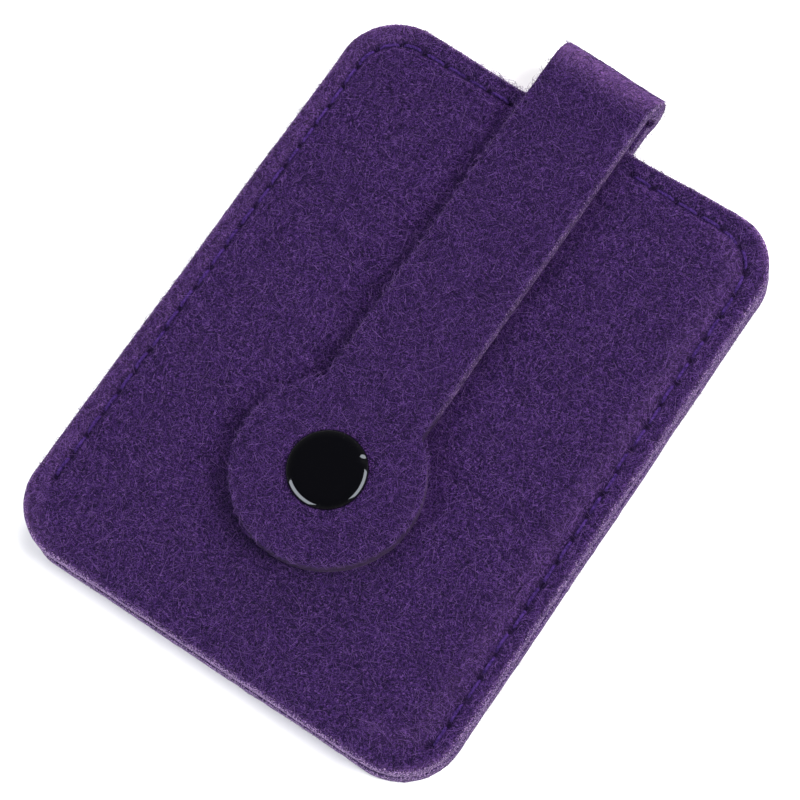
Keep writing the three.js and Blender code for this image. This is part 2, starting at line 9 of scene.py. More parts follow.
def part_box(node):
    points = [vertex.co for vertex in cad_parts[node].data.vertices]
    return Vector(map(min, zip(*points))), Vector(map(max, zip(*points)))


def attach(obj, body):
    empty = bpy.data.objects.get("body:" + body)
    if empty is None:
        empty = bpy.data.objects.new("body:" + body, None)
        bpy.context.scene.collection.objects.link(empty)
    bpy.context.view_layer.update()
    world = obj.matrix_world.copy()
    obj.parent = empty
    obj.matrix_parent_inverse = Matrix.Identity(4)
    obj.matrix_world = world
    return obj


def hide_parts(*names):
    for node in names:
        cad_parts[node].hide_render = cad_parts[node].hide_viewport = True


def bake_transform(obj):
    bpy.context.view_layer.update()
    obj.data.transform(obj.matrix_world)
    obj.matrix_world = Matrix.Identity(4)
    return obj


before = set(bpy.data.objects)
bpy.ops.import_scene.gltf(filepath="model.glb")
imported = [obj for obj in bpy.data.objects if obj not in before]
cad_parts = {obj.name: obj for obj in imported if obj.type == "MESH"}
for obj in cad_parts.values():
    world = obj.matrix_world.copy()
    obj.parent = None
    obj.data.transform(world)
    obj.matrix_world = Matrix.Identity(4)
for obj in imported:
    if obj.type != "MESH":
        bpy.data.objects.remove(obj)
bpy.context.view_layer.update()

MM = 0.001
rng = np.random.default_rng(7)


def new_object(name, data):
    """An object of that data, linked to the scene."""
    piece = bpy.data.objects.new(name, data)
    bpy.context.scene.collection.objects.link(piece)
    return piece


# ---- Camera ----
CAMERA_TARGET = Vector((1.05, -1.4, 3.85)) * MM
CAMERA_DISTANCE = 0.418
CAMERA_AZIMUTH = math.radians(44.8)
CAMERA_ELEVATION = math.radians(71.3)
CAMERA_ROLL = math.radians(-11.2)
CAMERA_LENS = 125.1
CAMERA_NEAREST = 0.01


def add_camera():
    """The camera looks down on the front panel, turned a little about its own axis."""
    level = math.cos(CAMERA_ELEVATION)
    back = Vector((
        math.sin(CAMERA_AZIMUTH) * level,
        -math.cos(CAMERA_AZIMUTH) * level,
        math.sin(CAMERA_ELEVATION),
    ))
    level_right = Vector((math.cos(CAMERA_AZIMUTH), math.sin(CAMERA_AZIMUTH), 0))
    level_up = back.cross(level_right)
    right = level_right * math.cos(CAMERA_ROLL) + level_up * math.sin(CAMERA_ROLL)
    up = back.cross(right)
    place = CAMERA_TARGET + back * CAMERA_DISTANCE
    data = bpy.data.cameras.new("camera")
    data.lens = CAMERA_LENS
    data.clip_start = CAMERA_NEAREST
    camera = new_object("camera", data)
    turn = Matrix((right, up, back)).transposed().to_4x4()
    camera.matrix_world = Matrix.Translation(place) @ turn
    bpy.context.scene.camera = camera


add_camera()


# ---- The CAD's own sizes, in millimetres ----
def cad_box(node):
    """Lowest and highest corner of a CAD node, in millimetres."""
    low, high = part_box(node)
    return [value / MM for value in low], [value / MM for value in high]


back_low, back_high = cad_box("back_panel")
front_low, front_high = cad_box("front_panel")
flap_low, flap_high = cad_box("strap_flap")
loop_high = cad_box("strap_loop")[1]
slot_low, slot_high = cad_box("strap_slot_length")
tail_low, tail_high = cad_box("strap_tail")
cap_low, cap_high = cad_box("snap_cap")
leaf_low, leaf_high = cad_box("needle_leaf")
NEEDLES = [f"needle_{i + 1}" for i in range(6)]

HALF_WIDTH = back_high[0]
HALF_LENGTH = back_high[1]
CORNER = 10.0
# How much each corner's radius differs from that, and how far felt bulges past its CAD outline.
CORNER_EASES = (-1.0, -0.4, -0.5, -0.3)
SWELL = 0.3
FELT = back_high[2] - back_low[2]
CASE_TOP = front_high[2]
MIDDLE_Z = CASE_TOP / 2
SEAM_INSET = 3.0
SEAM_CORNER = 7.0
# How high the left seam (-1) and the right one (1) start over the mouth, and drift outwards.
SEAM_STARTS = {-1: 10.0, 1: 7.0}
SEAM_DRIFTS = {-1: 0.0, 1: 0.75}
SEAM_TO_STRAP_MIDDLE = 11.0
STITCH_PITCH = 4.05
POCKET_HALF_WIDTH = 31.5
POCKET_RELIEF = 0.6
POCKET_TOP = HALF_LENGTH - 6.0
STRAP_HALF_WIDTH = slot_high[0]
CHANNEL_HALF_WIDTH = 9.4
CHANNEL_RELIEF = 1.7
CHANNEL_END = -37.0
TAB_RADIUS = flap_high[0]
SNAP_Y = (cap_low[1] + cap_high[1]) / 2
BEND_RADIUS = 3.0
BEND_Y = loop_high[1] - BEND_RADIUS - FELT / 2
BEND_Z = MIDDLE_Z + BEND_RADIUS
SLOT_Y = slot_low[1]


# ---- Noise and small maths, on arrays of points ----
NOISE_CELLS = 64
NOISE_TABLES = 6
noise_tables = [rng.uniform(-1, 1, (NOISE_CELLS,) * 3) for _ in range(NOISE_TABLES)]


def lumps(points, size, table):
    """Smooth noise from -1 to 1 with lumps of about that size, at an array of 3-D points."""
    place = np.asarray(points, float) / size
    cell = np.floor(place).astype(int)
    part = place - cell
    part = part * part * (3 - 2 * part)
    values = noise_tables[table]
    total = 0
    for dx in (0, 1):
        for dy in (0, 1):
            for dz in (0, 1):
                corner = (cell + (dx, dy, dz)) % NOISE_CELLS
                share = (
                    np.abs(1 - dx - part[:, 0])
                    * np.abs(1 - dy - part[:, 1])
                    * np.abs(1 - dz - part[:, 2])
                )
                total = total + share * values[corner[:, 0], corner[:, 1], corner[:, 2]]
    return total


def unevenness(points, layers, table):
    """Layers of lumps on top of each other, each given as (height, size)."""
    return sum(
        height * lumps(points, size, (table + layer) % NOISE_TABLES)
        for layer, (height, size) in enumerate(layers))


def smooth_step(low, high, value):
    """0 at low and beyond, 1 at high and beyond, and smooth between them."""
    t = np.clip((value - low) / (high - low), 0, 1)
    return t * t * (3 - 2 * t)


def hump(away, width, power=2):
    """A smooth bump, 1 where away is 0 and about a third at its width."""
    return np.exp(-((away / width) ** power))


def inside_depth(x, y, half_width, half_length, corner):
    """How far inside a rounded rectangle a point is, negative outside."""
    qx = np.abs(x) - (half_width - corner)
    qy = np.abs(y) - (half_length - corner)
    outside = np.hypot(np.maximum(qx, 0), np.maximum(qy, 0))
    return corner - outside - np.minimum(np.maximum(qx, qy), 0)


def panel_depth(x, y):
    """How far inside the panels' outline a point is, negative outside."""
    return inside_depth(x, y, HALF_WIDTH, HALF_LENGTH, CORNER)


# ---- Seam ----
SEAM_X = HALF_WIDTH - SEAM_INSET
SEAM_TOP = HALF_LENGTH - SEAM_INSET
SEAM_CORNER_RUN = SEAM_CORNER * math.pi / 2
SEAM_TOP_RUN = SEAM_X - SEAM_CORNER - SEAM_TO_STRAP_MIDDLE
SEAM_FADE = 2.0
SEAM_REACH = 3.0


class Seam:
    """One of the two seams: side -1 is the left one and 1 the right one."""

    def __init__(self, side):
        self.side = side
        self.drift = SEAM_DRIFTS[side]
        self.foot = SEAM_STARTS[side] - HALF_LENGTH
        self.side_run = SEAM_TOP - SEAM_CORNER - self.foot
        run = self.side_run + SEAM_CORNER_RUN + SEAM_TOP_RUN
        self.stitch_count = round(run / STITCH_PITCH)
        self.stitch_step = run / self.stitch_count

    def point(self, distance):
        """(x, y) on the centre line, from the mouth up the side and round to the strap."""
        if distance <= self.side_run:
            x = SEAM_X + self.drift * (1 - distance / self.side_run)
            return self.side * x, self.foot + distance
        bend = min((distance - self.side_run) / SEAM_CORNER, math.pi / 2)
        straight = max(distance - self.side_run - SEAM_CORNER_RUN, 0)
        x = SEAM_X - SEAM_CORNER * (1 - math.cos(bend)) - straight
        y = SEAM_TOP - SEAM_CORNER * (1 - math.sin(bend))
        return self.side * x, y

    def without_drift(self, x, y):
        """The distance across the case as if this seam ran straight down its side."""
        down = np.clip((SEAM_TOP - SEAM_CORNER - y) / self.side_run, 0, None)
        beside = smooth_step(SEAM_X / 2, SEAM_X - SEAM_REACH, np.abs(x))
        return np.abs(x) - self.drift * down * beside

    def along(self, x, y):
        """Distance along the seam from its first hole, for points close to it."""
        ax = np.abs(x)
        straight = self.side_run + SEAM_CORNER_RUN + (SEAM_X - SEAM_CORNER - ax)
        turn = np.arctan2(y - (SEAM_TOP - SEAM_CORNER), ax - (SEAM_X - SEAM_CORNER))
        bend = self.side_run + SEAM_CORNER * np.clip(turn, 0, math.pi / 2)
        along = np.where(y < SEAM_TOP - SEAM_CORNER, y - self.foot, bend)
        return np.where(ax < SEAM_X - SEAM_CORNER, straight, along)


LEFT_SEAM = Seam(-1)
RIGHT_SEAM = Seam(1)


def seam_distance(x, y):
    """Distance from the seam line, and how fully the seam is there, from 0 to 1."""
    across = np.where(x < 0, LEFT_SEAM.without_drift(x, y), RIGHT_SEAM.without_drift(x, y))
    depth = inside_depth(across, y, SEAM_X, SEAM_TOP, SEAM_CORNER)
    foot = np.where(x < 0, LEFT_SEAM.foot, RIGHT_SEAM.foot)
    present = smooth_step(foot - SEAM_FADE, foot, y)
    end = SEAM_TO_STRAP_MIDDLE
    beside_strap = smooth_step(end - SEAM_FADE, end, np.abs(x))
    present = present * np.where(y > SEAM_TOP - SEAM_REACH, beside_strap, 1)
    return np.abs(depth), present


def stitch_beat(x, y):
    """1 at each stitch hole and 0 half way between two, for points close to a seam."""
    turns = np.where(
        x < 0,
        LEFT_SEAM.along(x, y) / LEFT_SEAM.stitch_step,
        RIGHT_SEAM.along(x, y) / RIGHT_SEAM.stitch_step)
    return 0.5 + 0.5 * np.cos(2 * math.pi * turns)


# ---- Felt heights ----
FACE_LUMPS = ((0.10, 17.0), (0.04, 4.5), (0.018, 1.3))
RELIEF_SHARE = 0.7
GROOVE_DEPTH = 0.6
GROOVE_WIDTH = 0.6
HOLE_DEPTH = 0.4
SHOULDER_DEPTH = 0.2
SHOULDER_WIDTH = 1.9
HOLE_SHADE = 0.9
HOLE_SHADE_WIDTH = 0.42
GROOVE_SHADE = 0.5
GROOVE_SHADE_WIDTH = 0.55
# Painted light: the front's rim and the felt beside its seams are paled where light catches them.
LIP_LIGHT = 0.14
LIP_WIDTH = 0.8
SIDE_LIGHT = 0.08
BULGE_DEPTH = 4.6
BULGE_WIDTH = 1.6
# Each pair says from where to where something grows from none to full: painted light across
# the front and inwards from its rim, and heights inwards from the rim or towards the press stud.
LEFT_LIT_STRIP = (2.9, 2.1)
LEFT_LIT_SIDE = (-25.0, -32.0)
RIGHT_LIT_SIDE = (22.0, 31.0)
CROWN_RUN = (4.0, 22.0)
RIM_RUN = (3.0, 0.0)
STUD_RUN = (7.5, 5.0)
CROWN = 0.12
FACE_SINK = 0.1
RIM_SINK = 0.2
STUD_SINK = 0.3
TABLE_GAP = 0.12
RIM_CONTACT = 0.13


def felt_relief(x, y, table):
    """Small unevenness of a felt face, in millimetres."""
    points = np.stack([x, y, np.full_like(x, 3.0 * table)], 1)
    return unevenness(points, FACE_LUMPS, table)


def seam_press(x, y):
    """How far the seam presses the felt down: a groove, deeper at each stitch hole."""
    away, present = seam_distance(x, y)
    depth = GROOVE_DEPTH + HOLE_DEPTH * stitch_beat(x, y) ** 3
    shoulder = SHOULDER_DEPTH * hump(away, SHOULDER_WIDTH)
    return present * (depth * hump(away, GROOVE_WIDTH) + shoulder)


def stitch_shade(x, y):
    """How dark the felt looks at the stitch holes and, less so, along the groove."""
    away, present = seam_distance(x, y)
    hole = stitch_beat(x, y) ** 6 * hump(away, HOLE_SHADE_WIDTH)
    groove = GROOVE_SHADE * hump(away, GROOVE_SHADE_WIDTH)
    return present * np.clip(HOLE_SHADE * hole + groove, 0, 1)


def painted_rim_light(x, y):
    """How far the front is paled as painted light: at its rim, and beside the seam at either side.
    """
    depth = panel_depth(x, y)
    lip = LIP_LIGHT * smooth_step(LIP_WIDTH, 0.0, depth)
    left = SIDE_LIGHT * smooth_step(*LEFT_LIT_STRIP, depth) * smooth_step(*LEFT_LIT_SIDE, x)
    bulge = SIDE_LIGHT * hump(depth - BULGE_DEPTH, BULGE_WIDTH)
    right = bulge * smooth_step(*RIGHT_LIT_SIDE, x)
    return lip + left + right


def front_top(x, y):
    """Height of the front panel's outer face, crowned and sunk at its rim, seams and stud."""
    depth = panel_depth(x, y)
    crown = CROWN * smooth_step(*CROWN_RUN, depth) - FACE_SINK
    crown = crown - RIM_SINK * smooth_step(*RIM_RUN, depth)
    stud = STUD_SINK * smooth_step(*STUD_RUN, np.hypot(x, y - SNAP_Y))
    return CASE_TOP + crown + RELIEF_SHARE * felt_relief(x, y, 0) - seam_press(x, y) - stud


def back_bottom(x, y):
    """Height of the back panel's outer face, which lies on the table."""
    face = TABLE_GAP + RELIEF_SHARE * felt_relief(x, y, 3)
    return np.maximum(face, 0) + seam_press(x, y)


def pocket_relief(x, y):
    """How much thinner a panel is inside, for the leaf and for the strap."""
    inside = smooth_step(POCKET_HALF_WIDTH + 1.0, POCKET_HALF_WIDTH - 0.5, np.abs(x))
    pocket = POCKET_RELIEF * inside * smooth_step(POCKET_TOP + 0.5, POCKET_TOP - 1.5, y)
    across = smooth_step(CHANNEL_HALF_WIDTH + 1.2, CHANNEL_HALF_WIDTH, np.abs(x))
    channel = across * smooth_step(CHANNEL_END - 1.0, CHANNEL_END + 0.5, y) * CHANNEL_RELIEF
    return np.maximum(pocket, channel)


def rim_contact(x):
    """How far each panel swells inwards outside the seams, where the two press together."""
    return RIM_CONTACT * smooth_step(POCKET_HALF_WIDTH + 1.0, POCKET_HALF_WIDTH + 2.5, np.abs(x))


# ---- Mesh making ----
CUT_STEEPNESS = (0.93, 0.6)
# How much of the pale cut colour is held back on edges facing the X sides, as painted shade.
PAINTED_SIDE_SHADE = 0.6
# How upright a normal is on a flat face, and on the whole of an outer face with its rims.
FLAT = 0.9
OUTWARD = 0.3


def mesh_of(name, points, faces):
    mesh = bpy.data.meshes.new(name)
    mesh.from_pydata(np.asarray(points).tolist(), [], faces)
    mesh.update()
    return mesh


def shade_smooth(mesh):
    mesh.polygons.foreach_set("use_smooth", np.ones(len(mesh.polygons), bool))
    mesh.update()


def read_points(mesh):
    points = np.empty(len(mesh.vertices) * 3, np.float32)
    mesh.vertices.foreach_get("co", points)
    return points.reshape(-1, 3).astype(float)


def write_points(mesh, points):
    mesh.vertices.foreach_set("co", np.asarray(points, np.float32).ravel())
    mesh.update()


def add_value(mesh, name, values):
    values = np.asarray(values, np.float32)
    kind = "FLOAT" if values.ndim == 1 else "FLOAT_VECTOR"
    attribute = mesh.attributes.new(name, kind, "POINT")
    attribute.data.foreach_set("value" if kind == "FLOAT" else "vector", values.ravel())


def felt_block(name, outline, low, high, voxel, cut_share=1.0):
    """A felt blank cut to an outline, with an even fine mesh and slightly soft edges.

    Its cut attribute says how far each point is on a cut edge, less so on the X sides, where the
    paler cut colour is held back as painted shade.
    """
    count = len(outline)
    points = [(x, y, z) for z in (low, high) for x, y in outline]
    faces = [list(range(count))[::-1], list(range(count, 2 * count))]
    faces += [
        (i, (i + 1) % count, (i + 1) % count + count, i + count) for i in range(count)
    ]
    rough = new_object(name + "_rough", mesh_of(name + "_rough", points, faces))
    remesh = rough.modifiers.new("even", "REMESH")
    remesh.mode = "VOXEL"
    remesh.voxel_size = voxel
    soften = rough.modifiers.new("soften", "SMOOTH")
    soften.factor = 0.5
    soften.iterations = 1
    depsgraph = bpy.context.evaluated_depsgraph_get()
    mesh = bpy.data.meshes.new_from_object(rough.evaluated_get(depsgraph))
    bpy.data.objects.remove(rough)
    mesh.name = name
    normals = np.array([tuple(v.normal) for v in mesh.vertices])
    points = read_points(mesh)
    under = np.median(points[normals[:, 2] < -FLAT, 2])
    over = np.median(points[normals[:, 2] > FLAT, 2])
    points[:, 2] = low + (points[:, 2] - under) / (over - under) * (high - low)
    write_points(mesh, points)
    sides = smooth_step(*CUT_STEEPNESS, np.abs(normals[:, 2]))
    # Painted shade: cut edges that face the X sides are kept darker.
    side_shade = 1 - PAINTED_SIDE_SHADE * np.abs(normals[:, 0])
    add_value(mesh, "cut", cut_share * (sides * side_shade))
    add_value(mesh, "felt_place", read_points(mesh))
    return mesh, normals


def arc(cx, cy, radius, start, end, steps):
    """Points (x, y) along a circle's arc, between two angles in degrees."""
    angles = np.radians(np.linspace(start, end, steps + 1))
    return [(cx + radius * math.cos(a), cy + radius * math.sin(a)) for a in angles]


def cut_outline(grow):
    """The panels' outline as cut by hand: each corner has a slightly different radius."""
    outline = []
    quarters = ((1, 1, 0), (-1, 1, 90), (-1, -1, 180), (1, -1, 270))
    for (sx, sy, start), ease in zip(quarters, CORNER_EASES):
        corner = CORNER + ease
        x = HALF_WIDTH + grow - corner
        y = HALF_LENGTH + grow - corner
        outline += arc(sx * x, sy * y, corner, start, start + 90, 20)
    return outline


# ---- Materials ----
# Where a Mix node keeps its share, its two colours, and the colour that comes out.
MIX_SHARE = 0
MIX_A = 6
MIX_B = 7
MIX_RESULT = 2


class Shader:
    """A Principled material with short calls for the nodes that the materials use."""

    def __init__(self, name, **values):
        self.material = bpy.data.materials.new(name)
        self.material.use_nodes = True
        self.tree = self.material.node_tree
        self.surface(**values)

    def feed(self, node, socket, value):
        """Sets a node's input, or links it where the value is another node's output."""
        if isinstance(value, bpy.types.NodeSocket):
            self.tree.links.new(value, node.inputs[socket])
        else:
            node.inputs[socket].default_value = value

    def surface(self, **values):
        """Feeds inputs of the Principled node, whose names have _ for each space here."""
        for socket, value in values.items():
            self.feed(self.tree.nodes["Principled BSDF"], socket.replace("_", " "), value)

    def node(self, kind, inputs=(), **settings):
        node = self.tree.nodes.new("ShaderNode" + kind)
        for key, value in settings.items():
            setattr(node, key, value)
        for socket, value in dict(inputs).items():
            self.feed(node, socket, value)
        return node

    def attribute(self, name, output="Fac"):
        return self.node("Attribute", attribute_name=name).outputs[output]

    def place(self):
        """The object's own coordinates, in metres."""
        return self.node("TexCoord").outputs["Object"]

    def math(self, operation, a, b=0.0):
        return self.node("Math", {0: a, 1: b}, operation=operation).outputs[0]

    def ramp(self, value, low, high, out_low=0.0, out_high=1.0):
        inputs = {"Value": value, "From Min": low, "From Max": high,
                  "To Min": out_low, "To Max": out_high}
        return self.node("MapRange", inputs, interpolation_type="SMOOTHSTEP").outputs[0]

    def mix(self, share, a, b):
        inputs = {MIX_SHARE: share, MIX_A: a, MIX_B: b}
        return self.node("Mix", inputs, data_type="RGBA").outputs[MIX_RESULT]

    def noise(self, vector, size, detail, roughness):
        inputs = {"Vector": vector, "Scale": 1 / size, "Detail": detail, "Roughness": roughness}
        return self.node("TexNoise", inputs).outputs[0]

    def vector(self, operation, a, b=(0, 0, 0)):
        node = self.node("VectorMath", {0: a, 1: b}, operation=operation)
        return node.outputs["Value" if operation == "DOT_PRODUCT" else "Vector"]

    def bump(self, height, strength, distance):
        inputs = {"Height": height, "Strength": strength, "Distance": distance * MM}
        self.surface(Normal=self.node("Bump", inputs).outputs[0])

    def strokes(self, source, index, cell, width):
        """Short curved fibres, one in each random cell: a mask, and each one's own value."""
        shift = tuple(index * step for step in STROKE_SHIFT)
        place = self.vector("ADD", source, shift)
        cells = self.node("TexVoronoi", {"Vector": place, "Scale": 1 / cell})
        local = self.vector("SUBTRACT", place, cells.outputs["Position"])
        lean = self.vector("SUBTRACT", cells.outputs["Color"], HALF_GREY)
        across = self.vector("NORMALIZE", self.vector("MULTIPLY", lean, LOW_LEAN))
        away = self.math("ABSOLUTE", self.vector("DOT_PRODUCT", local, across))
        value = self.node("SeparateColor", {0: cells.outputs["Color"]}).outputs["Blue"]
        return self.ramp(away, width, width * STROKE_CORE), value


def rgb(red, green, blue):
    """An sRGB colour given from 0 to 255, as the linear colour that a shader takes."""
    def linear(value):
        value /= 255
        return value / 12.92 if value <= 0.04045 else ((value + 0.055) / 1.055) ** 2.4
    return (linear(red), linear(green), linear(blue), 1.0)


GRAIN_SIZE = 0.2
SPECK_SIZE = 0.2
MOTTLE_SIZE = 5.0
SWAY_SCALE = 0.9
HALF_GREY = (0.5, 0.5, 0.5)
LOW_LEAN = (1, 1, 0.4)
STROKE_LAYERS = 4
STROKE_CELL = 0.5
STROKE_CELL_STEP = 0.16
STROKE_WIDTH = 0.065
STROKE_CORE = 0.35
STROKE_SHIFT = (7.3, 3.1, 5.7)
CUT_GAIN = 0.15


def felt_material(name, pit, low, high, hair, cut, painted_light, sheen):
    """Pressed wool felt: layers of fine curved fibres over dark pits, paler where cut."""
    shader = Shader(
        name, Roughness=0.95, Specular_IOR_Level=0.12, Sheen_Weight=0.1, Sheen_Roughness=0.35,
        Sheen_Tint=sheen)
    source = shader.attribute("felt_place", "Vector")
    grain = shader.noise(source, GRAIN_SIZE, 1.0, 0.5)
    sway = shader.node("TexNoise", {"Vector": source, "Scale": SWAY_SCALE, "Detail": 1.0})
    bent = shader.vector("MULTIPLY", sway.outputs["Color"], HALF_GREY)
    source = shader.vector("ADD", source, bent)
    colour = shader.mix(shader.ramp(grain, 0.36, 0.6), pit, low)
    for index in range(STROKE_LAYERS):
        cell = STROKE_CELL + STROKE_CELL_STEP * index
        mask, value = shader.strokes(source, index, cell, STROKE_WIDTH)
        colour = shader.mix(mask, colour, shader.mix(value, low, high))
    colour = shader.mix(shader.ramp(grain, 0.5, 0.4, 0.0, 0.95), colour, pit)
    colour = shader.mix(shader.ramp(grain, 0.54, 0.64, 0.0, 0.45), colour, hair)
    mottle = shader.noise(source, MOTTLE_SIZE, 3.0, 0.6)
    colour = shader.mix(shader.ramp(mottle, 0.4, 0.7, 0.0, 0.12), colour, pit)
    on_cut = shader.attribute("cut")
    speck = shader.noise(shader.vector("MULTIPLY", source, LOW_LEAN), SPECK_SIZE, 1.0, 0.6)
    paler = shader.math("ADD", speck, shader.math("MULTIPLY", on_cut, CUT_GAIN))
    cut_share = shader.math("MULTIPLY", shader.ramp(paler, 0.59, 0.71), shader.ramp(on_cut, 0, 0.1))
    colour = shader.mix(cut_share, colour, cut)
    # Painted light: the felt is paled in patches where an attribute marks the front's rim, the
    # strap's bend and its edges.
    patches = shader.ramp(speck, 0.4, 0.6, 0.35, 1.0)
    painted_light_share = shader.math("MULTIPLY", shader.attribute("painted_light"), patches)
    colour = shader.mix(painted_light_share, colour, painted_light)
    # Painted shade: the groove attribute darkens the felt towards the pit colour at stitch holes,
    # along seam grooves and on the tab's lower cut side.
    shader.surface(Base_Color=shader.mix(shader.attribute("groove"), colour, pit))
    shader.bump(grain, 0.6, 0.05)
    return shader.material


# The paler purple given for painted light is mixed in at the rim, the bend and the strap's edges.
felt = felt_material(
    "purple_felt", pit=rgb(16, 6, 30), low=rgb(33, 13, 58), high=rgb(62, 34, 94),
    hair=rgb(100, 71, 124), cut=rgb(134, 111, 148), painted_light=rgb(122, 88, 138),
    sheen=rgb(184, 146, 200))
leaf_felt = felt_material(
    "cream_felt", pit=rgb(160, 146, 118), low=rgb(196, 186, 164), high=rgb(226, 219, 204),
    hair=rgb(236, 231, 220), cut=rgb(226, 219, 202), painted_light=rgb(236, 231, 220),
    sheen=rgb(240, 236, 226))


def fibre_material(name, shade):
    """Loose wool fibres: each fibre has one dye shade, so its material is plain."""
    values = {"Roughness": 0.8, "Specular_IOR_Level": 0.15, "Base_Color": rgb(*shade)}
    return Shader(name, **values).material


PURPLE_SHADES = ((14, 4, 30), (36, 16, 62), (63, 36, 94), (95, 67, 123), (164, 144, 176))
CREAM_SHADES = ((190, 178, 152), (212, 203, 184), (232, 226, 212))
FIBRES = [fibre_material(f"purple_fibre_{i + 1}", each) for i, each in enumerate(PURPLE_SHADES)]
# The pale fibre shade used for painted light at the rim, the strap's bend and its edges.
PAINTED_LIGHT_SHADE = len(FIBRES) - 2
# The share of the fibres in each purple shade, on a face and at a cut edge.
FACE_SHADES = (0.33, 0.27, 0.3, 0.1, 0.0)
EDGE_SHADES = (0.2, 0.22, 0.22, 0.23, 0.13)
# Painted shade: the back's edge fibres are darker than the front's.
BACK_EDGE_SHADES = (0.26, 0.28, 0.22, 0.16, 0.08)
CREAM_FIBRES = [fibre_material(f"cream_fibre_{i + 1}", each) for i, each in enumerate(CREAM_SHADES)]


def thread_material():
    """Twisted polyester thread, with the shade of its plies changing along it."""
    shader = Shader("sewing_thread", Roughness=0.85, Specular_IOR_Level=0.1)
    twist = shader.noise(shader.place(), 0.35 * MM, 2.0, 0.6)
    colour = shader.mix(shader.ramp(twist, 0.3, 0.7), rgb(27, 11, 54), rgb(61, 37, 98))
    shader.surface(Base_Color=colour)
    shader.bump(twist, 0.5, 0.03)
    return shader.material


def plastic_material():
    """Polished black moulding with a trace of dust and handling marks in its gloss."""
    shader = Shader("black_plastic", IOR=1.45)
    place = shader.place()
    smear = shader.noise(place, 3.0 * MM, 4.0, 0.6)
    specks = shader.noise(place, 0.28 * MM, 2.0, 0.6)
    colour = shader.mix(shader.ramp(specks, 0.7, 0.82), rgb(4, 4, 6), rgb(40, 40, 44))
    shader.surface(Base_Color=colour, Roughness=shader.ramp(smear, 0.35, 0.7, 0.03, 0.09))
    shader.bump(smear, 0.2, 0.03)
    return shader.material


def metal_material(name, light, dark, roughness):
    """Bright metal with faint tarnish, which is a little rougher."""
    shader = Shader(name, Metallic=1.0)
    tarnish = shader.noise(shader.place(), 1.6 * MM, 3.0, 0.6)
    colour = shader.mix(shader.ramp(tarnish, 0.35, 0.75), light, dark)
    rough = shader.ramp(tarnish, 0.3, 0.8, roughness, roughness + 0.15)
    shader.surface(Base_Color=colour, Roughness=rough)
    return shader.material


thread = thread_material()
plastic = plastic_material()
steel = metal_material("needle_steel", rgb(214, 216, 220), rgb(176, 178, 182), 0.14)
brass = metal_material("rivet_brass", rgb(216, 178, 104), rgb(170, 132, 66), 0.22)


def finish_piece(name, mesh, materials, replaced=()):
    """Scales a mesh from millimetres, gives it its materials and makes it a piece."""
    write_points(mesh, read_points(mesh) * MM)
    shade_smooth(mesh)
    for material in materials:
        mesh.materials.append(material)
    piece = new_object(name, mesh)
    if replaced:
        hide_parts(*replaced)
    return piece


# ---- Loose fibres ----
FIBRE_STEPS = 3
FIBRE_SIDES = 3
FIBRE_LENGTH_MEAN = 0.45
FIBRE_LENGTH_SPREAD = 0.6
FIBRE_LENGTHS = (0.5, 6.5)
FIBRE_CURL = 0.13
FIBRE_KINK = 0.8
FIBRE_CLEARANCE = 0.02
FACE_RADII = (0.018, 0.032)
EDGE_RADII = (0.02, 0.034)
LEAF_RADII = (0.016, 0.03)
# The root of x ** 3 = x + 1, whose powers spread places evenly over a plane.
PLASTIC_NUMBER = 1.32471795724
SMALLEST = 1e-6


def wander(count, length):
    """Plan paths of fibres round the origin: (count, steps + 1, 2), curling as they go."""
    heading = rng.uniform(0, 2 * math.pi, (count, 1))
    bend = rng.normal(0, FIBRE_CURL, (count, 1))
    bend = bend + rng.normal(0, FIBRE_CURL * FIBRE_KINK, (count, FIBRE_STEPS))
    headings = heading + np.cumsum(bend, 1)
    stride = (length / FIBRE_STEPS)[:, None]
    steps = np.stack([np.cos(headings), np.sin(headings)], 2) * stride[:, :, None]
    start = np.zeros((count, 1, 2))
    paths = np.concatenate([start, np.cumsum(steps, 1)], 1)
    return paths - paths[:, FIBRE_STEPS // 2][:, None, :]


def tube_faces(rings):
    """The faces of a three-sided tube with pointed ends, from its first point to its last."""
    faces = []
    last = rings * FIBRE_SIDES + 1
    for corner in range(FIBRE_SIDES):
        following = (corner + 1) % FIBRE_SIDES
        faces.append((0, 1 + following, 1 + corner))
        for ring in range(rings - 1):
            a = 1 + ring * FIBRE_SIDES + corner
            b = 1 + ring * FIBRE_SIDES + following
            faces.append((a, b, b + FIBRE_SIDES))
            faces.append((a, b + FIBRE_SIDES, a + FIBRE_SIDES))
        faces.append((last, last - FIBRE_SIDES + corner, last - FIBRE_SIDES + following))
    return faces


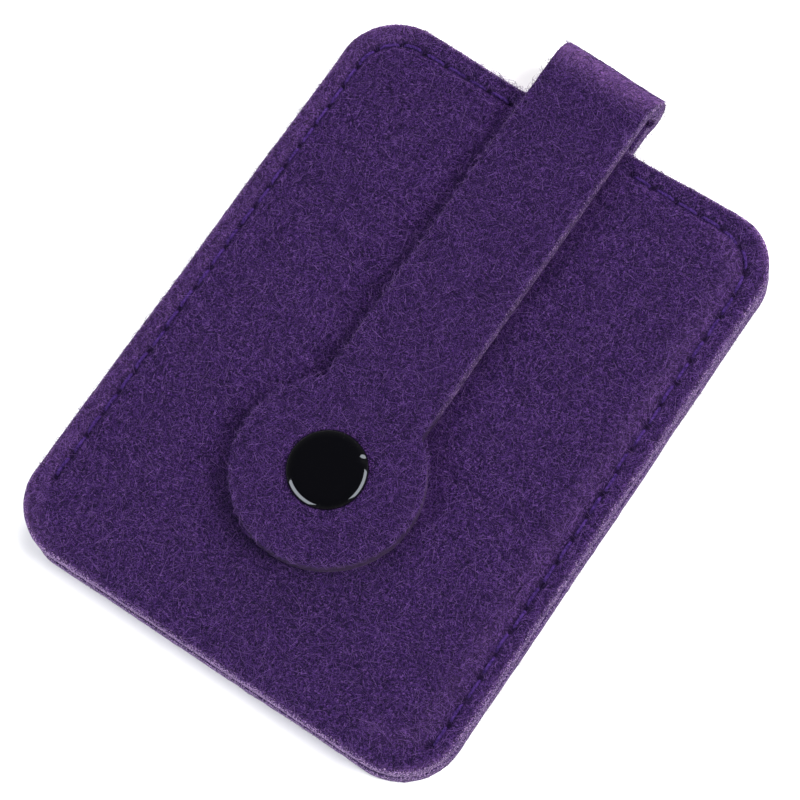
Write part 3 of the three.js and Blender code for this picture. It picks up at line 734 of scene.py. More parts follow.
def fibre_mesh(name, paths, radius, shade):
    """Closed thin tubes along paths of (fibres, points, 3), each with the material of its shade."""
    count, points, _ = paths.shape
    middle = paths[:, 1:-1]
    tangent = paths[:, 2:] - paths[:, :-2]
    tangent /= np.maximum(np.linalg.norm(tangent, axis=2, keepdims=True), 1e-9)
    reference = np.where(np.abs(tangent[:, :, 2:]) > 0.9, (1.0, 0, 0), (0, 0, 1.0))
    side = np.cross(tangent, reference)
    side /= np.linalg.norm(side, axis=2, keepdims=True)
    over = np.cross(side, tangent)
    rings = []
    for corner in range(FIBRE_SIDES):
        angle = 2 * math.pi * corner / FIBRE_SIDES
        offset = math.cos(angle) * over + math.sin(angle) * side
        rings.append(middle + offset * radius[:, None, None])
    inner = points - 2
    body = np.stack(rings, 2).reshape(count, inner * FIBRE_SIDES, 3)
    vertices = np.concatenate([paths[:, :1], body, paths[:, -1:]], 1)
    pattern = np.array(tube_faces(inner))
    offsets = (np.arange(count) * vertices.shape[1])[:, None, None]
    faces = (pattern[None] + offsets).reshape(-1, 3)
    mesh = bpy.data.meshes.new(name)
    mesh.vertices.add(count * vertices.shape[1])
    mesh.loops.add(faces.size)
    mesh.polygons.add(len(faces))
    mesh.vertices.foreach_set("co", vertices.astype(np.float32).ravel())
    mesh.loops.foreach_set("vertex_index", faces.astype(np.int32).ravel())
    mesh.polygons.foreach_set("loop_start", np.arange(0, faces.size, 3, dtype=np.int32))
    mesh.polygons.foreach_set("material_index", np.repeat(shade, len(pattern)).astype(np.int32))
    mesh.update(calc_edges=True)
    mesh.validate()
    return mesh


def face_fibres(count, spots, height, lift):
    """Fibres lying on a face: spots are (x, y) roots, height gives the face's own height."""
    length = np.clip(rng.lognormal(FIBRE_LENGTH_MEAN, FIBRE_LENGTH_SPREAD, count), *FIBRE_LENGTHS)
    plan = wander(count, length) + spots[:, None, :]
    along = np.linspace(0, 1, FIBRE_STEPS + 1)
    rise = np.minimum(rng.exponential(lift, (count, 1)), 5 * lift)
    over = FIBRE_CLEARANCE + rise * np.sin(math.pi * along)
    flat = plan.reshape(-1, 2)
    ground = height(flat[:, 0], flat[:, 1]).reshape(count, -1)
    return np.concatenate([plan, (ground + over)[:, :, None]], 2)


def shades_in_turn(count, shares):
    """A shade for each fibre in runs, so that each shade's fibres are spread evenly."""
    return np.searchsorted(np.cumsum(shares)[:-1], (np.arange(count) + 0.5) / count)


def even_spots(count, span):
    """Places spread evenly but in no pattern over a rectangle of that span from the origin."""
    steps = 1 / PLASTIC_NUMBER, 1 / PLASTIC_NUMBER ** 2
    return (rng.uniform(0, 1, 2) + np.arange(count)[:, None] * steps) % 1 * span


# ---- Panels ----
PANEL_VOXEL = 0.43
# Painted shade: the back panel's cut edge is paled less than the front's.
BACK_CUT_SHARE = 0.8
EDGE_LUMPS = ((0.13, 9.0), (0.09, 1.6))
INSIDE_LUMPS = ((0.04, 1.5),)
DRAWN_IN = 0.45
DRAWN_LENGTH = 6
DRAWN_MIDDLE = 12.0
DRAWN_WIDTH = 9.0
OVERHANG = 0.4
PULL_BACK = 1.3
CROSSING_WIDTH = 1.1
CROSSING_CUT = 0.55
PAINTED_LIGHT_FIBRES = 1.8
FRONT_LIFT = 0.04
BACK_FIBRE_SINK = 0.07
MOUTH_DEPTH = 5.0
LEAF_CLEARANCE = 0.15
EDGE_LENGTH = 0.55
EDGE_SHORTEST = 0.4
EDGE_SPLAY = 0.75
EDGE_CURL = 0.45
EDGE_CLIMB = 0.5
EDGE_KINK = 0.3
OVER_TABLE = 0.05


def drawn_in(x, y):
    """How far the panels' closed end is drawn in beside the strap."""
    near_end = smooth_step(HALF_LENGTH - DRAWN_LENGTH, HALF_LENGTH, y)
    return DRAWN_IN * near_end * hump(np.abs(x) - DRAWN_MIDDLE, DRAWN_WIDTH)


def panel_edges(points, normals, table):
    """The cut edge of a panel: a little uneven, and drawn in beside the strap."""
    side = 1 - np.abs(normals[:, 2])
    sway = unevenness(points, EDGE_LUMPS, table)
    for axis in (0, 1):
        points[:, axis] += side * normals[:, axis] * sway
    points[:, 1] -= drawn_in(points[:, 0], points[:, 1])
    return points


def panel_blank(name, low, high, table, cut_share=1.0):
    """A panel's felt blank: mesh, uprightness, points, and each point's share of the height."""
    mesh, normals = felt_block(name, cut_outline(SWELL), low, high, PANEL_VOXEL, cut_share)
    points = panel_edges(read_points(mesh), normals, table)
    return mesh, normals[:, 2], points, (points[:, 2] - low) / (high - low)


def front_panel():
    low, high = front_low[2], front_high[2]
    mesh, upright, points, share = panel_blank("front_felt", low, high, 1)
    x, y = points[:, 0], points[:, 1]
    add_value(mesh, "groove", stitch_shade(x, y) * (upright > OUTWARD))
    # Painted light on the front: its rim and the felt beside its seams are paled.
    add_value(mesh, "painted_light", painted_rim_light(x, y) * (upright > OUTWARD))
    inner = low + pocket_relief(x, y) + unevenness(points, INSIDE_LUMPS, 4) - rim_contact(x)
    points[:, 2] = inner + (front_top(x, y) - inner) * share
    write_points(mesh, points)
    piece = finish_piece("front_felt", mesh, [felt], ["front_panel"])
    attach(piece, "case")


def back_panel():
    low, high = back_low[2], back_high[2]
    mesh, upright, points, share = panel_blank("back_felt", low, high, 2, BACK_CUT_SHARE)
    x, y = points[:, 0], points[:, 1]
    add_value(mesh, "groove", stitch_shade(x, y) * (upright < -OUTWARD))
    inner = high - pocket_relief(x, y) + unevenness(points, INSIDE_LUMPS, 5) + rim_contact(x)
    outer = back_bottom(x, y)
    points[:, 2] = outer + (inner - outer) * share
    write_points(mesh, points)
    piece = finish_piece("back_felt", mesh, [felt], ["back_panel"])
    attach(piece, "case")


def spots_on_panel(tries):
    """Evenly spread places on a panel."""
    span = np.array([2 * HALF_WIDTH, 2 * HALF_LENGTH])
    spots = even_spots(tries, span) - span / 2
    return spots[panel_depth(spots[:, 0], spots[:, 1]) > 0]


def keep_inside(paths):
    """Pulls fibre points that would hang past the panel's outline back to it."""
    flat = paths.reshape(-1, 3)
    over = np.maximum(-OVERHANG - panel_depth(flat[:, 0], flat[:, 1]), 0)
    reach = np.maximum(np.hypot(flat[:, 0], flat[:, 1]), SMALLEST)
    for axis in (0, 1):
        flat[:, axis] -= flat[:, axis] / reach * over * PULL_BACK
    return flat.reshape(paths.shape)


def panel_fibres(name, tries, height, lift):
    """Fibres on a panel's outer face, of which the seam has cut some and painted light has paled
    some.
    """
    spots = spots_on_panel(tries)
    away, present = seam_distance(spots[:, 0], spots[:, 1])
    cut = rng.uniform(0, 1, len(spots)) < CROSSING_CUT
    spots = spots[~((away < CROSSING_WIDTH) & (present > 0.5) & cut)]
    count = len(spots)
    paths = keep_inside(face_fibres(count, spots, height, lift))
    radius = rng.uniform(*FACE_RADII, count)
    # Painted light: fibres near the front's rim and seams are given the pale shade.
    pale = PAINTED_LIGHT_FIBRES * painted_rim_light(spots[:, 0], spots[:, 1]) * (lift > 0)
    painted_light = rng.uniform(0, 1, count) < pale
    shade = np.where(painted_light, PAINTED_LIGHT_SHADE, shades_in_turn(count, FACE_SHADES))
    mesh = fibre_mesh(name, paths, radius, shade)
    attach(finish_piece(name, mesh, FIBRES), "case")


def clear_of_leaf(paths, side):
    """Keeps fibres at the mouth out of the leaf's way: side 1 is over it and -1 under it."""
    gap = leaf_high[2] - MIDDLE_Z + LEAF_CLEARANCE
    x, y, z = paths[:, :, 0], paths[:, :, 1], paths[:, :, 2]
    at_mouth = (y < MOUTH_DEPTH - HALF_LENGTH) & (np.abs(x) < POCKET_HALF_WIDTH)
    away = np.maximum(side * (z - MIDDLE_Z), gap)
    paths[:, :, 2] = np.where(at_mouth, MIDDLE_Z + side * away, z)
    return paths


def edge_roots(count):
    """Places all round the panels' outline, and which way is out there."""
    distance = rng.uniform(0, 1, count)
    outline = np.array(cut_outline(0.0))
    closed = np.concatenate([outline, outline[:1]])
    runs = np.concatenate([[0], np.cumsum(np.linalg.norm(np.diff(closed, axis=0), axis=1))])
    here = distance * runs[-1]
    ahead = (here + 0.05) % runs[-1]
    x, y = (np.interp(here, runs, closed[:, axis]) for axis in (0, 1))
    ahead_x, ahead_y = (np.interp(ahead, runs, closed[:, axis]) for axis in (0, 1))
    out = np.arctan2(ahead_y - y, ahead_x - x) - math.pi / 2
    return x, y - drawn_in(x, y), out


def edge_fibres(name, count, low, high, side, shares):
    """Short fibre ends that stand out of a panel's cut edge."""
    x, y, out = edge_roots(count)
    lengths = rng.uniform(EDGE_SHORTEST, 1.0, count) * EDGE_LENGTH
    heading = out + rng.normal(0, EDGE_SPLAY, count)
    bend = rng.normal(0, EDGE_CURL, (count, FIBRE_STEPS))
    headings = heading[:, None] + np.cumsum(bend, 1)
    climb = rng.normal(0, EDGE_CLIMB, (count, 1))
    climb = climb + rng.normal(0, EDGE_KINK, (count, FIBRE_STEPS))
    stride = (lengths / FIBRE_STEPS)[:, None]
    level = np.cos(climb)
    steps = np.stack([np.cos(headings) * level, np.sin(headings) * level, np.sin(climb)], 2)
    root = np.stack([x, y, rng.uniform(low, high, count)], 1)[:, None, :]
    paths = np.concatenate([root, root + np.cumsum(steps * stride[:, :, None], 1)], 1)
    paths[:, :, 2] = np.clip(paths[:, :, 2], OVER_TABLE, None)
    paths = clear_of_leaf(paths, side)
    shade = shades_in_turn(count, shares)
    mesh = fibre_mesh(name, paths, rng.uniform(*EDGE_RADII, count), shade)
    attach(finish_piece(name, mesh, FIBRES), "case")


def back_ground(x, y):
    """Where the back's fibres lie: pressed into its face by the table."""
    return np.maximum(back_bottom(x, y) - BACK_FIBRE_SINK, 0)


front_panel()
back_panel()
for batch in range(5):
    panel_fibres(f"front_fibres_{batch + 1}", 16000, front_top, FRONT_LIFT)
edge_fibres("front_edge_fibres", 14000, MIDDLE_Z - 0.7, CASE_TOP - 0.15, 1, EDGE_SHADES)
edge_fibres("back_edge_fibres", 12000, 0.2, MIDDLE_Z + 0.3, -1, BACK_EDGE_SHADES)
panel_fibres("back_fibres", 10000, back_ground, 0.0)


# ---- Stitches ----
PLY_RADIUS = 0.145
PLY_COUNT = 3
PLY_OFFSET = 0.14
THREAD_TURN = 2.3
THREAD_DEPTHS = (0.15, 0.3)
THREAD_SWAY = 0.1
STITCH_GAP = 0.06
STITCH_DIP = 1.5
STITCH_SHARPNESS = (4.5, 8.0)
THREAD_STEPS = 25
THREAD_SIDES = 6


def tube(path, radius, sides):
    """Vertices and faces of a closed round tube along a path of points."""
    path = np.asarray(path)
    tangent = np.gradient(path, axis=0)
    tangent /= np.linalg.norm(tangent, axis=1, keepdims=True)
    reference = np.array([0.31, 0.21, 0.93])
    side = np.cross(tangent, reference)
    side /= np.linalg.norm(side, axis=1, keepdims=True)
    over = np.cross(side, tangent)
    points, faces = [], []
    for corner in range(sides):
        angle = 2 * math.pi * corner / sides
        points.append(path + radius * (math.cos(angle) * side + math.sin(angle) * over))
    points = np.stack(points, 1).reshape(-1, 3)
    for ring in range(len(path) - 1):
        for corner in range(sides):
            a = ring * sides + corner
            b = ring * sides + (corner + 1) % sides
            faces.append((a, b, b + sides, a + sides))
    faces.append(tuple(range(sides))[::-1])
    last = (len(path) - 1) * sides
    faces.append(tuple(range(last, last + sides)))
    return points, faces


def stitch_paths(seam, height, inward):
    """The plies of one stitch after another: down a hole, along the groove, down the next."""
    t = np.linspace(0, 1, THREAD_STEPS)
    shares = STITCH_GAP + (1 - 2 * STITCH_GAP) * t
    for index in range(seam.stitch_count):
        start = index * seam.stitch_step
        where = np.array([seam.point(start + seam.stitch_step * share) for share in shares])
        dip = STITCH_DIP * (np.abs(2 * t - 1) ** rng.uniform(*STITCH_SHARPNESS))
        middle_x, middle_y = seam.point(start + seam.stitch_step / 2)
        level = height(np.array([middle_x]), np.array([middle_y]))[0]
        z = np.full(THREAD_STEPS, level) + inward * (dip - rng.uniform(*THREAD_DEPTHS))
        sway = rng.normal(0, THREAD_SWAY)
        centre = np.stack([where[:, 0] + sway, where[:, 1] + sway, z], 1)
        heading = centre[-1] - centre[0]
        across = np.array([-heading[1], heading[0], 0]) / np.hypot(heading[0], heading[1])
        phase = rng.uniform(0, 2 * math.pi)
        for ply in range(PLY_COUNT):
            angle = phase + 2 * math.pi * (ply / PLY_COUNT + THREAD_TURN * t)
            upright = np.sin(angle)[:, None] * np.array([0, 0, 1.0])
            yield centre + PLY_OFFSET * (np.cos(angle)[:, None] * across + upright)


def stitches(name, node, seam, height, inward):
    points, faces = [], []
    total = 0
    for path in stitch_paths(seam, height, inward):
        ply_points, ply_faces = tube(path, PLY_RADIUS, THREAD_SIDES)
        points.append(ply_points)
        faces += [tuple(total + i for i in face) for face in ply_faces]
        total += len(ply_points)
    mesh = mesh_of(name, np.concatenate(points), faces)
    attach(finish_piece(name, mesh, [thread], [node]), "case")


for seam, word in ((LEFT_SEAM, "left"), (RIGHT_SEAM, "right")):
    stitches(f"{word}_front_stitches", f"{word}_needle_thread", seam, front_top, -1)
    stitches(f"{word}_back_stitches", f"{word}_bobbin_thread", seam, back_bottom, 1)


# ---- Strap ----
# The strap is made flat: x across, y its run from the slot to the tab, z out of the bend.
STRAP_VOXEL = 0.4
SOCKET_RECESS = 2.1
CAD_GAP = 0.05
STRAP_LUMPS = ((0.08, 7.0), (0.06, 1.4))
STRAP_BACK_LUMPS = ((0.04, 1.4),)
# Depth, width and power of the humps that the cap presses into the tab.
TAB_DIMPLES = ((0.32, 7.4, 4), (0.2, 6.6, 8))
SOCKET_RUN = (6.1, 5.5)
# Painted shade: the tab's cut edge is paled much less than the strip's.
STRAP_CUT = (0.03, 0.27)
STRAP_LOW_SHADE = 0.75
# Painted highlight: the strap is paled round its bend and along its edges.
BEND_HIGHLIGHT = 0.5
STRAP_EDGE_LIGHT = 0.3
STRAP_EDGE = 0.6
STRAP_LIFT = 0.05
STRAP_OVERHANG = 0.4
CAP_CLEARANCE = 6.6
TRIES_PER_FIBRE = 1.5
FIBRE_START = 4.0
ARC_START = BEND_Y - SLOT_Y
ARC_RUN = math.pi * BEND_RADIUS
ARC_MIDDLE = ARC_START + ARC_RUN / 2
FLAP_START = ARC_START + ARC_RUN
STRAP_RUN = FLAP_START + BEND_Y - flap_low[1]
TAB_RUN = FLAP_START + BEND_Y - SNAP_Y
BEND_FOOT = (0, BEND_Y, MIDDLE_Z)
BEND_CREST = (0, BEND_Y + BEND_RADIUS, BEND_Z)
BEND_HEAD = (0, BEND_Y, BEND_Z + BEND_RADIUS)
# For the strap's inner and outer half: the 2 bodies it is bent between, and where it bends.
BENDS = {
    "inner": (("case", "loop"), (BEND_FOOT, BEND_CREST)),
    "outer": (("loop", "flap"), (BEND_CREST, BEND_HEAD)),
}
STRAP_NODES = {"inner": ["strap_slot_length", "strap_loop"], "outer": ["strap_flap"]}


def strap_outline():
    shoulder = math.degrees(math.asin(STRAP_HALF_WIDTH / TAB_RADIUS))
    tab = arc(0, TAB_RUN, TAB_RADIUS - CAD_GAP, 270 + shoulder, 630 - shoulder, 72)
    half = STRAP_HALF_WIDTH - CAD_GAP
    neck = TAB_RUN - math.sqrt(TAB_RADIUS ** 2 - half ** 2)
    return [(-half, 0.1), (half, 0.1), (half, neck)] + tab + [(-half, neck)]


def tab_dimple(x, y):
    """The press stud draws the tab's felt down round its cap."""
    away = np.hypot(x, y - TAB_RUN)
    return sum(depth * hump(away, width, power) for depth, width, power in TAB_DIMPLES)


def strap_face(x, y):
    """Height of the strap's outer face over its middle plane."""
    return FELT / 2 + 0.6 * felt_relief(x, y, 2) - CAD_GAP - tab_dimple(x, y)


def strap_back(x, y):
    """How far the strap's inner face lies under its middle plane."""
    return np.full_like(x, FELT / 2 - 0.06)


def fold(points):
    """Takes flat strap points round the bend to where the strap lies."""
    x, run, out = points[..., 0], points[..., 1], points[..., 2]
    turn = np.clip((run - ARC_START) / BEND_RADIUS, 0, math.pi)
    reach = BEND_RADIUS + out
    before = np.minimum(run - ARC_START, 0)
    after = np.maximum(run - FLAP_START, 0)
    y = BEND_Y + before - after + reach * np.sin(turn)
    z = BEND_Z - reach * np.cos(turn)
    slack = np.sin(turn) * smooth_step(-STRAP_HALF_WIDTH, STRAP_HALF_WIDTH, x)
    return np.stack([x + 0.7 * slack, y - 0.5 * slack, z - 0.5 * slack], -1)


def painted_bend_highlight(run):
    """Painted highlight round the strap's bend, where its outer face is stretched."""
    turn = (run - ARC_START) / BEND_RADIUS
    return smooth_step(0.0, 1.6, turn) * smooth_step(math.pi + 0.9, math.pi - 1.2, turn)


def strap_mesh():
    """The whole strap, still flat."""
    mesh, normals = felt_block("strap_felt", strap_outline(), -FELT / 2, FELT / 2, STRAP_VOXEL)
    points = read_points(mesh)
    upright = np.abs(normals[:, 2])
    sway = unevenness(points, STRAP_LUMPS, 4)
    points[:, :2] += (1 - upright)[:, None] * normals[:, :2] * sway[:, None]
    x, y = points[:, 0], points[:, 1]
    # Painted highlight: the felt is paled round the bend.
    add_value(mesh, "painted_light", BEND_HIGHLIGHT * painted_bend_highlight(y) * (normals[:, 2] > 0.5))
    share = (points[:, 2] + FELT / 2) / FELT
    on_strip = smooth_step(TAB_RUN - TAB_RADIUS, TAB_RUN - TAB_RADIUS - 3.0, y)
    # Painted shade on the tab's cut edge, which is paled less than the strip's.
    tab_cut, strip_cut = STRAP_CUT
    cut = (tab_cut + strip_cut * on_strip) * smooth_step(0.8, 0.35, upright)
    mesh.attributes["cut"].data.foreach_set("value", cut.astype(np.float32))
    # Painted shade: the lower half of the tab's cut side is darkened.
    low_side = smooth_step(0.92, 0.5, share) * smooth_step(0.9, 0.5, upright)
    lying = smooth_step(FLAP_START, FLAP_START + 4.0, y)
    add_value(mesh, "groove", STRAP_LOW_SHADE * low_side * lying * (1 - on_strip))
    recess = SOCKET_RECESS * smooth_step(*SOCKET_RUN, np.hypot(x, y - TAB_RUN))
    bottom = -FELT / 2 + unevenness(points, STRAP_BACK_LUMPS, 1) + 0.04 + recess
    points[:, 2] = bottom + (strap_face(x, y) - bottom) * share
    write_points(mesh, points)
    return mesh


def split_strap(mesh, name, keep_end):
    """One half of the flat strap, cut square across at the middle of its bend."""
    half = bmesh.new()
    half.from_mesh(mesh)
    cut = bmesh.ops.bisect_plane(
        half, geom=half.verts[:] + half.edges[:] + half.faces[:],
        plane_co=(0, ARC_MIDDLE, 0), plane_no=(0, 1, 0),
        clear_inner=keep_end, clear_outer=not keep_end)
    edges = [e for e in cut["geom_cut"] if isinstance(e, bmesh.types.BMEdge)]
    bmesh.ops.holes_fill(half, edges=edges)
    part = bpy.data.meshes.new(name)
    half.to_mesh(part)
    half.free()
    return part


def blend_half(piece, half):
    """Bakes the placement of a piece of the strap's inner or outer half into its mesh; its two
    bodies and bend ends are looked up but not used.
    """
    bodies, ends = BENDS[half]
    start, end = (tuple(v * MM for v in point) for point in ends)
    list(bodies)
    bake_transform(piece)
    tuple(start)
    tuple(end)


def strap_halves():
    whole = strap_mesh()
    for half, nodes in STRAP_NODES.items():
        name = f"strap_{half}_half"
        part = split_strap(whole, name, keep_end=half == "outer")
        write_points(part, fold(read_points(part)))
        blend_half(finish_piece(name, part, [felt], nodes), half)
    bpy.data.meshes.remove(whole)


def strap_spots(tries):
    """Evenly spread places on the flat strap, clear of the cap."""
    span = np.array([2 * TAB_RADIUS, STRAP_RUN - FIBRE_START])
    spots = even_spots(tries, span) - (TAB_RADIUS, -FIBRE_START)
    x, y = spots[:, 0], spots[:, 1]
    from_cap = np.hypot(x, y - TAB_RUN)
    inside = (np.abs(x) < STRAP_HALF_WIDTH) & (y < TAB_RUN) | (from_cap < TAB_RADIUS)
    return spots[inside & (from_cap > CAP_CLEARANCE)]


def keep_on_strap(paths):
    """Pulls fibre points that would hang past the strap's outline back to it."""
    x, y = paths[:, :, 0], paths[:, :, 1]
    over_edge = np.abs(x) - STRAP_HALF_WIDTH - STRAP_OVERHANG
    on_strip = y < TAB_RUN - TAB_RADIUS * 0.8
    paths[:, :, 0] -= np.where(on_strip & (over_edge > 0), np.sign(x) * over_edge, 0)
    away = np.maximum(np.hypot(x, y - TAB_RUN), SMALLEST)
    shrink = np.where(on_strip, 1, np.minimum(1, (TAB_RADIUS + STRAP_OVERHANG) / away))
    paths[:, :, 0] *= shrink
    paths[:, :, 1] = TAB_RUN + (y - TAB_RUN) * shrink
    return paths, on_strip[:, 0]


def strap_fibres(batch, count, side=1):
    """Fibres on a face of the strap, in two sets that meet at the middle of the bend.

    Side is 1 for its outer face and -1 for the inner one.
    """
    spots = strap_spots(int(TRIES_PER_FIBRE * count))
    count = len(spots)
    paths = face_fibres(count, spots, strap_face if side > 0 else strap_back, STRAP_LIFT)
    paths[:, :, 2] *= side
    paths, on_strip = keep_on_strap(paths)
    radius = rng.uniform(*FACE_RADII, count)
    x, y = spots[:, 0], spots[:, 1]
    from_side = STRAP_HALF_WIDTH - np.abs(x)
    from_edge = np.where(on_strip, from_side, TAB_RADIUS - np.hypot(x, y - TAB_RUN))
    # Painted highlight: fibres round the bend and along the strap's edges are given the pale shade.
    pale = np.maximum(BEND_HIGHLIGHT * painted_bend_highlight(y), STRAP_EDGE_LIGHT * (from_edge < STRAP_EDGE))
    painted_light = rng.uniform(0, 1, count) < pale
    shade = np.where(painted_light, PAINTED_LIGHT_SHADE, shades_in_turn(count, FACE_SHADES))
    for half, chosen in (("inner", y < ARC_MIDDLE), ("outer", y >= ARC_MIDDLE)):
        name = f"strap_{half}_fibres_{batch}"
        mesh = fibre_mesh(name, fold(paths[chosen]), radius[chosen], shade[chosen])
        blend_half(finish_piece(name, mesh, FIBRES), half)


strap_halves()
for batch in (1, 2):
    strap_fibres(batch, 11000)
strap_fibres(3, 11000, side=-1)


# ---- Press stud ----
CAP_SEGMENTS = 128
CAP_THICKNESS = 1.2
CAP_POST = 1.2
CAP_RIM_WIDTH = 1.7
CAP_RIM_HEIGHT = 0.85
GATE_ANGLE = math.radians(48)
GATE_INSET = 0.5
GATE_DEPTH = 0.3
GATE_SIZE = 0.5
SOCKET_MOUTH = 2.75
STUD_BASE = 0.7
STUD_KNOB = 2.4
MERGE_DISTANCE = 1e-4


def turned(name, profile, segments=96):
    """A closed round solid on the press stud's axis, from (radius, height) points."""
    points, faces = [], []
    count = len(profile)
    for step in range(segments):
        angle = 2 * math.pi * step / segments
        for radius, height in profile:
            points.append((radius * math.cos(angle), SNAP_Y + radius * math.sin(angle), height))
    for step in range(segments):
        here, following = step * count, (step + 1) % segments * count
        for index in range(count):
            after = (index + 1) % count
            faces.append((here + index, following + index, following + after, here + after))
    mesh = mesh_of(name, points, faces)
    clean = bmesh.new()
    clean.from_mesh(mesh)
    bmesh.ops.remove_doubles(clean, verts=clean.verts, dist=MERGE_DISTANCE)
    bmesh.ops.recalc_face_normals(clean, faces=clean.faces)
    clean.to_mesh(mesh)
    clean.free()
    return mesh


def rounded_profile(points, radius, steps=5):
    """The same profile with every corner between its two ends rounded off."""
    rounded = [points[0]]
    for before, corner, after in zip(points, points[1:], points[2:]):
        corner = np.array(corner, float)
        to_before = np.array(before) - corner
        to_after = np.array(after) - corner
        size_before, size_after = np.linalg.norm(to_before), np.linalg.norm(to_after)
        reach = min(radius, size_before / 2.2, size_after / 2.2)
        start = corner + to_before / size_before * reach
        end = corner + to_after / size_after * reach
        for k in np.linspace(0, 1, steps):
            rounded.append(tuple((1 - k) ** 2 * start + 2 * k * (1 - k) * corner + k * k * end))
    rounded.append(points[-1])
    return rounded


def snap_size(node):
    """The radius, lowest and highest height of one of the press stud's CAD nodes."""
    low, high = cad_box(node)
    return (high[0] - low[0]) / 2, low[2], high[2]


def snap_cap():
    radius, foot, top = snap_size("snap_cap")
    under = top - CAP_THICKNESS
    profile = rounded_profile([
        (0, foot), (CAP_POST, foot), (CAP_POST, under), (radius - 0.15, under),
        (radius, under + 0.2), (radius, top - CAP_RIM_HEIGHT)], 0.1)
    for angle in np.radians(np.linspace(4, 86, 14)):
        profile.append((
            radius - CAP_RIM_WIDTH * (1 - math.cos(angle)),
            top - CAP_RIM_HEIGHT * (1 - math.sin(angle))))
    profile += [(radius - 2.5, top - 0.03), (radius - 4.0, top - 0.06), (0, top - 0.1)]
    mesh = turned("snap_cap_piece", profile, CAP_SEGMENTS)
    points = read_points(mesh)
    gate = np.array([math.cos(GATE_ANGLE), math.sin(GATE_ANGLE)]) * (radius - GATE_INSET)
    away = np.hypot(points[:, 0] - gate[0], points[:, 1] - SNAP_Y - gate[1])
    upper = points[:, 2] > top - 0.9
    points[:, 2] -= np.where(upper, GATE_DEPTH * hump(away, GATE_SIZE), 0)
    write_points(mesh, points)
    piece = finish_piece("snap_cap_piece", mesh, [plastic], ["snap_cap"])
    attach(piece, "flap")


def snap_socket():
    radius, low, high = snap_size("snap_socket")
    mouth = SOCKET_MOUTH
    profile = rounded_profile([
        (mouth, high - 0.6), (mouth, low + 0.15), (mouth + 0.5, low), (mouth + 1.1, low),
        (mouth + 1.5, low + 0.45), (radius - 0.5, low + 0.5), (radius, low + 0.8),
        (radius, high), (mouth, high), (mouth, high - 0.6)], 0.2)
    mesh = turned("snap_socket_piece", profile[:-1])
    piece = finish_piece("snap_socket_piece", mesh, [plastic], ["snap_socket"])
    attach(piece, "flap")


def snap_stud():
    radius, low, high = snap_size("snap_stud")
    base = low + STUD_BASE
    knob = STUD_KNOB
    profile = rounded_profile([
        (0, low), (radius, low), (radius, base - 0.25), (radius - 0.5, base),
        (knob + 1.2, base - 0.12), (knob - 0.25, base), (knob - 0.3, base + 0.35),
        (knob, high - 0.5), (knob - 0.3, high - 0.05), (knob - 1.0, high), (0, high - 0.1)], 0.2)
    mesh = turned("snap_stud_piece", profile)
    piece = finish_piece("snap_stud_piece", mesh, [plastic], ["snap_stud"])
    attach(piece, "case")


snap_cap()
snap_socket()
snap_stud()


# ---- Leaf, its needles, and the strap's tail ----
LEAF_VOXEL = 0.36
LEAF_HALF_WIDTH = leaf_high[0]
LEAF_NECK = 9.0
LEAF_SHOULDER_Y = 22.0
LEAF_SHOULDER = 4.0
LEAF_CORNER = 2
LEAF_NECK_CORNER = 1.5
LEAF_FILLET = 3
LEAF_FIBRES = 4500
LEAF_FIBRE_LENGTH = 64.0
LEAF_FIBRE_MIDDLE = -13.5
LEAF_LIFT = 0.03
LEAF_SHADES = (0.3, 0.4, 0.3)
LEAF_LUMPS = ((0.04, 2.2),)
NEEDLE_BITE = 4.5
NEEDLE_DIP = 0.86
NEEDLE_DIP_WIDTH = 0.62
TAIL_LAP_TOP = 3.15
TAIL_LAP_END = 39.2


def leaf_outline():
    """The leaf is wide below its shoulders and narrow where it meets the strap."""
    foot = leaf_low[1] + CAD_GAP + LEAF_CORNER
    head = leaf_high[1] - CAD_GAP - LEAF_NECK_CORNER
    half = LEAF_HALF_WIDTH - CAD_GAP
    right = (
        arc(half - LEAF_CORNER, foot, LEAF_CORNER, 270, 360, 8)
        + arc(half - LEAF_SHOULDER, LEAF_SHOULDER_Y - LEAF_SHOULDER, LEAF_SHOULDER, 0, 90, 12)
        + arc(LEAF_NECK + LEAF_FILLET, LEAF_SHOULDER_Y + LEAF_FILLET, LEAF_FILLET, 270, 180, 8)
        + arc(LEAF_NECK - LEAF_NECK_CORNER, head, LEAF_NECK_CORNER, 0, 90, 6))
    return right + [(-x, y) for x, y in reversed(right)]


def leaf_top(x, y):
    """The leaf's upper face dips along each needle, except where the needle goes through."""
    top = np.full_like(x, leaf_high[2] - 0.06)
    for needle in NEEDLES:
        low, high = cad_box(needle)
        middle_x = (low[0] + high[0]) / 2
        middle_y = (low[1] + high[1]) / 2
        beside = hump(np.abs(x - middle_x), NEEDLE_DIP_WIDTH, 4)
        along = smooth_step(low[1] - 0.8, low[1] - 0.2, y)
        along = along * smooth_step(high[1] + 0.8, high[1] + 0.2, y)
        shown = smooth_step(NEEDLE_BITE - 0.5, NEEDLE_BITE + 0.5, np.abs(y - middle_y))
        top -= NEEDLE_DIP * beside * along * shown
    return top + unevenness(np.stack([x, y, 0 * x], 1), LEAF_LUMPS, 3)


def leaf():
    low, high = leaf_low[2], leaf_high[2]
    mesh, _ = felt_block("leaf_felt_piece", leaf_outline(), low, high, LEAF_VOXEL)
    points = read_points(mesh)
    share = (points[:, 2] - low) / (high - low)
    top = leaf_top(points[:, 0], points[:, 1])
    points[:, 2] = low + 0.02 + (top - low - 0.02) * share
    write_points(mesh, points)
    piece = finish_piece("leaf_felt_piece", mesh, [leaf_felt], ["needle_leaf"])
    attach(piece, "leaf")


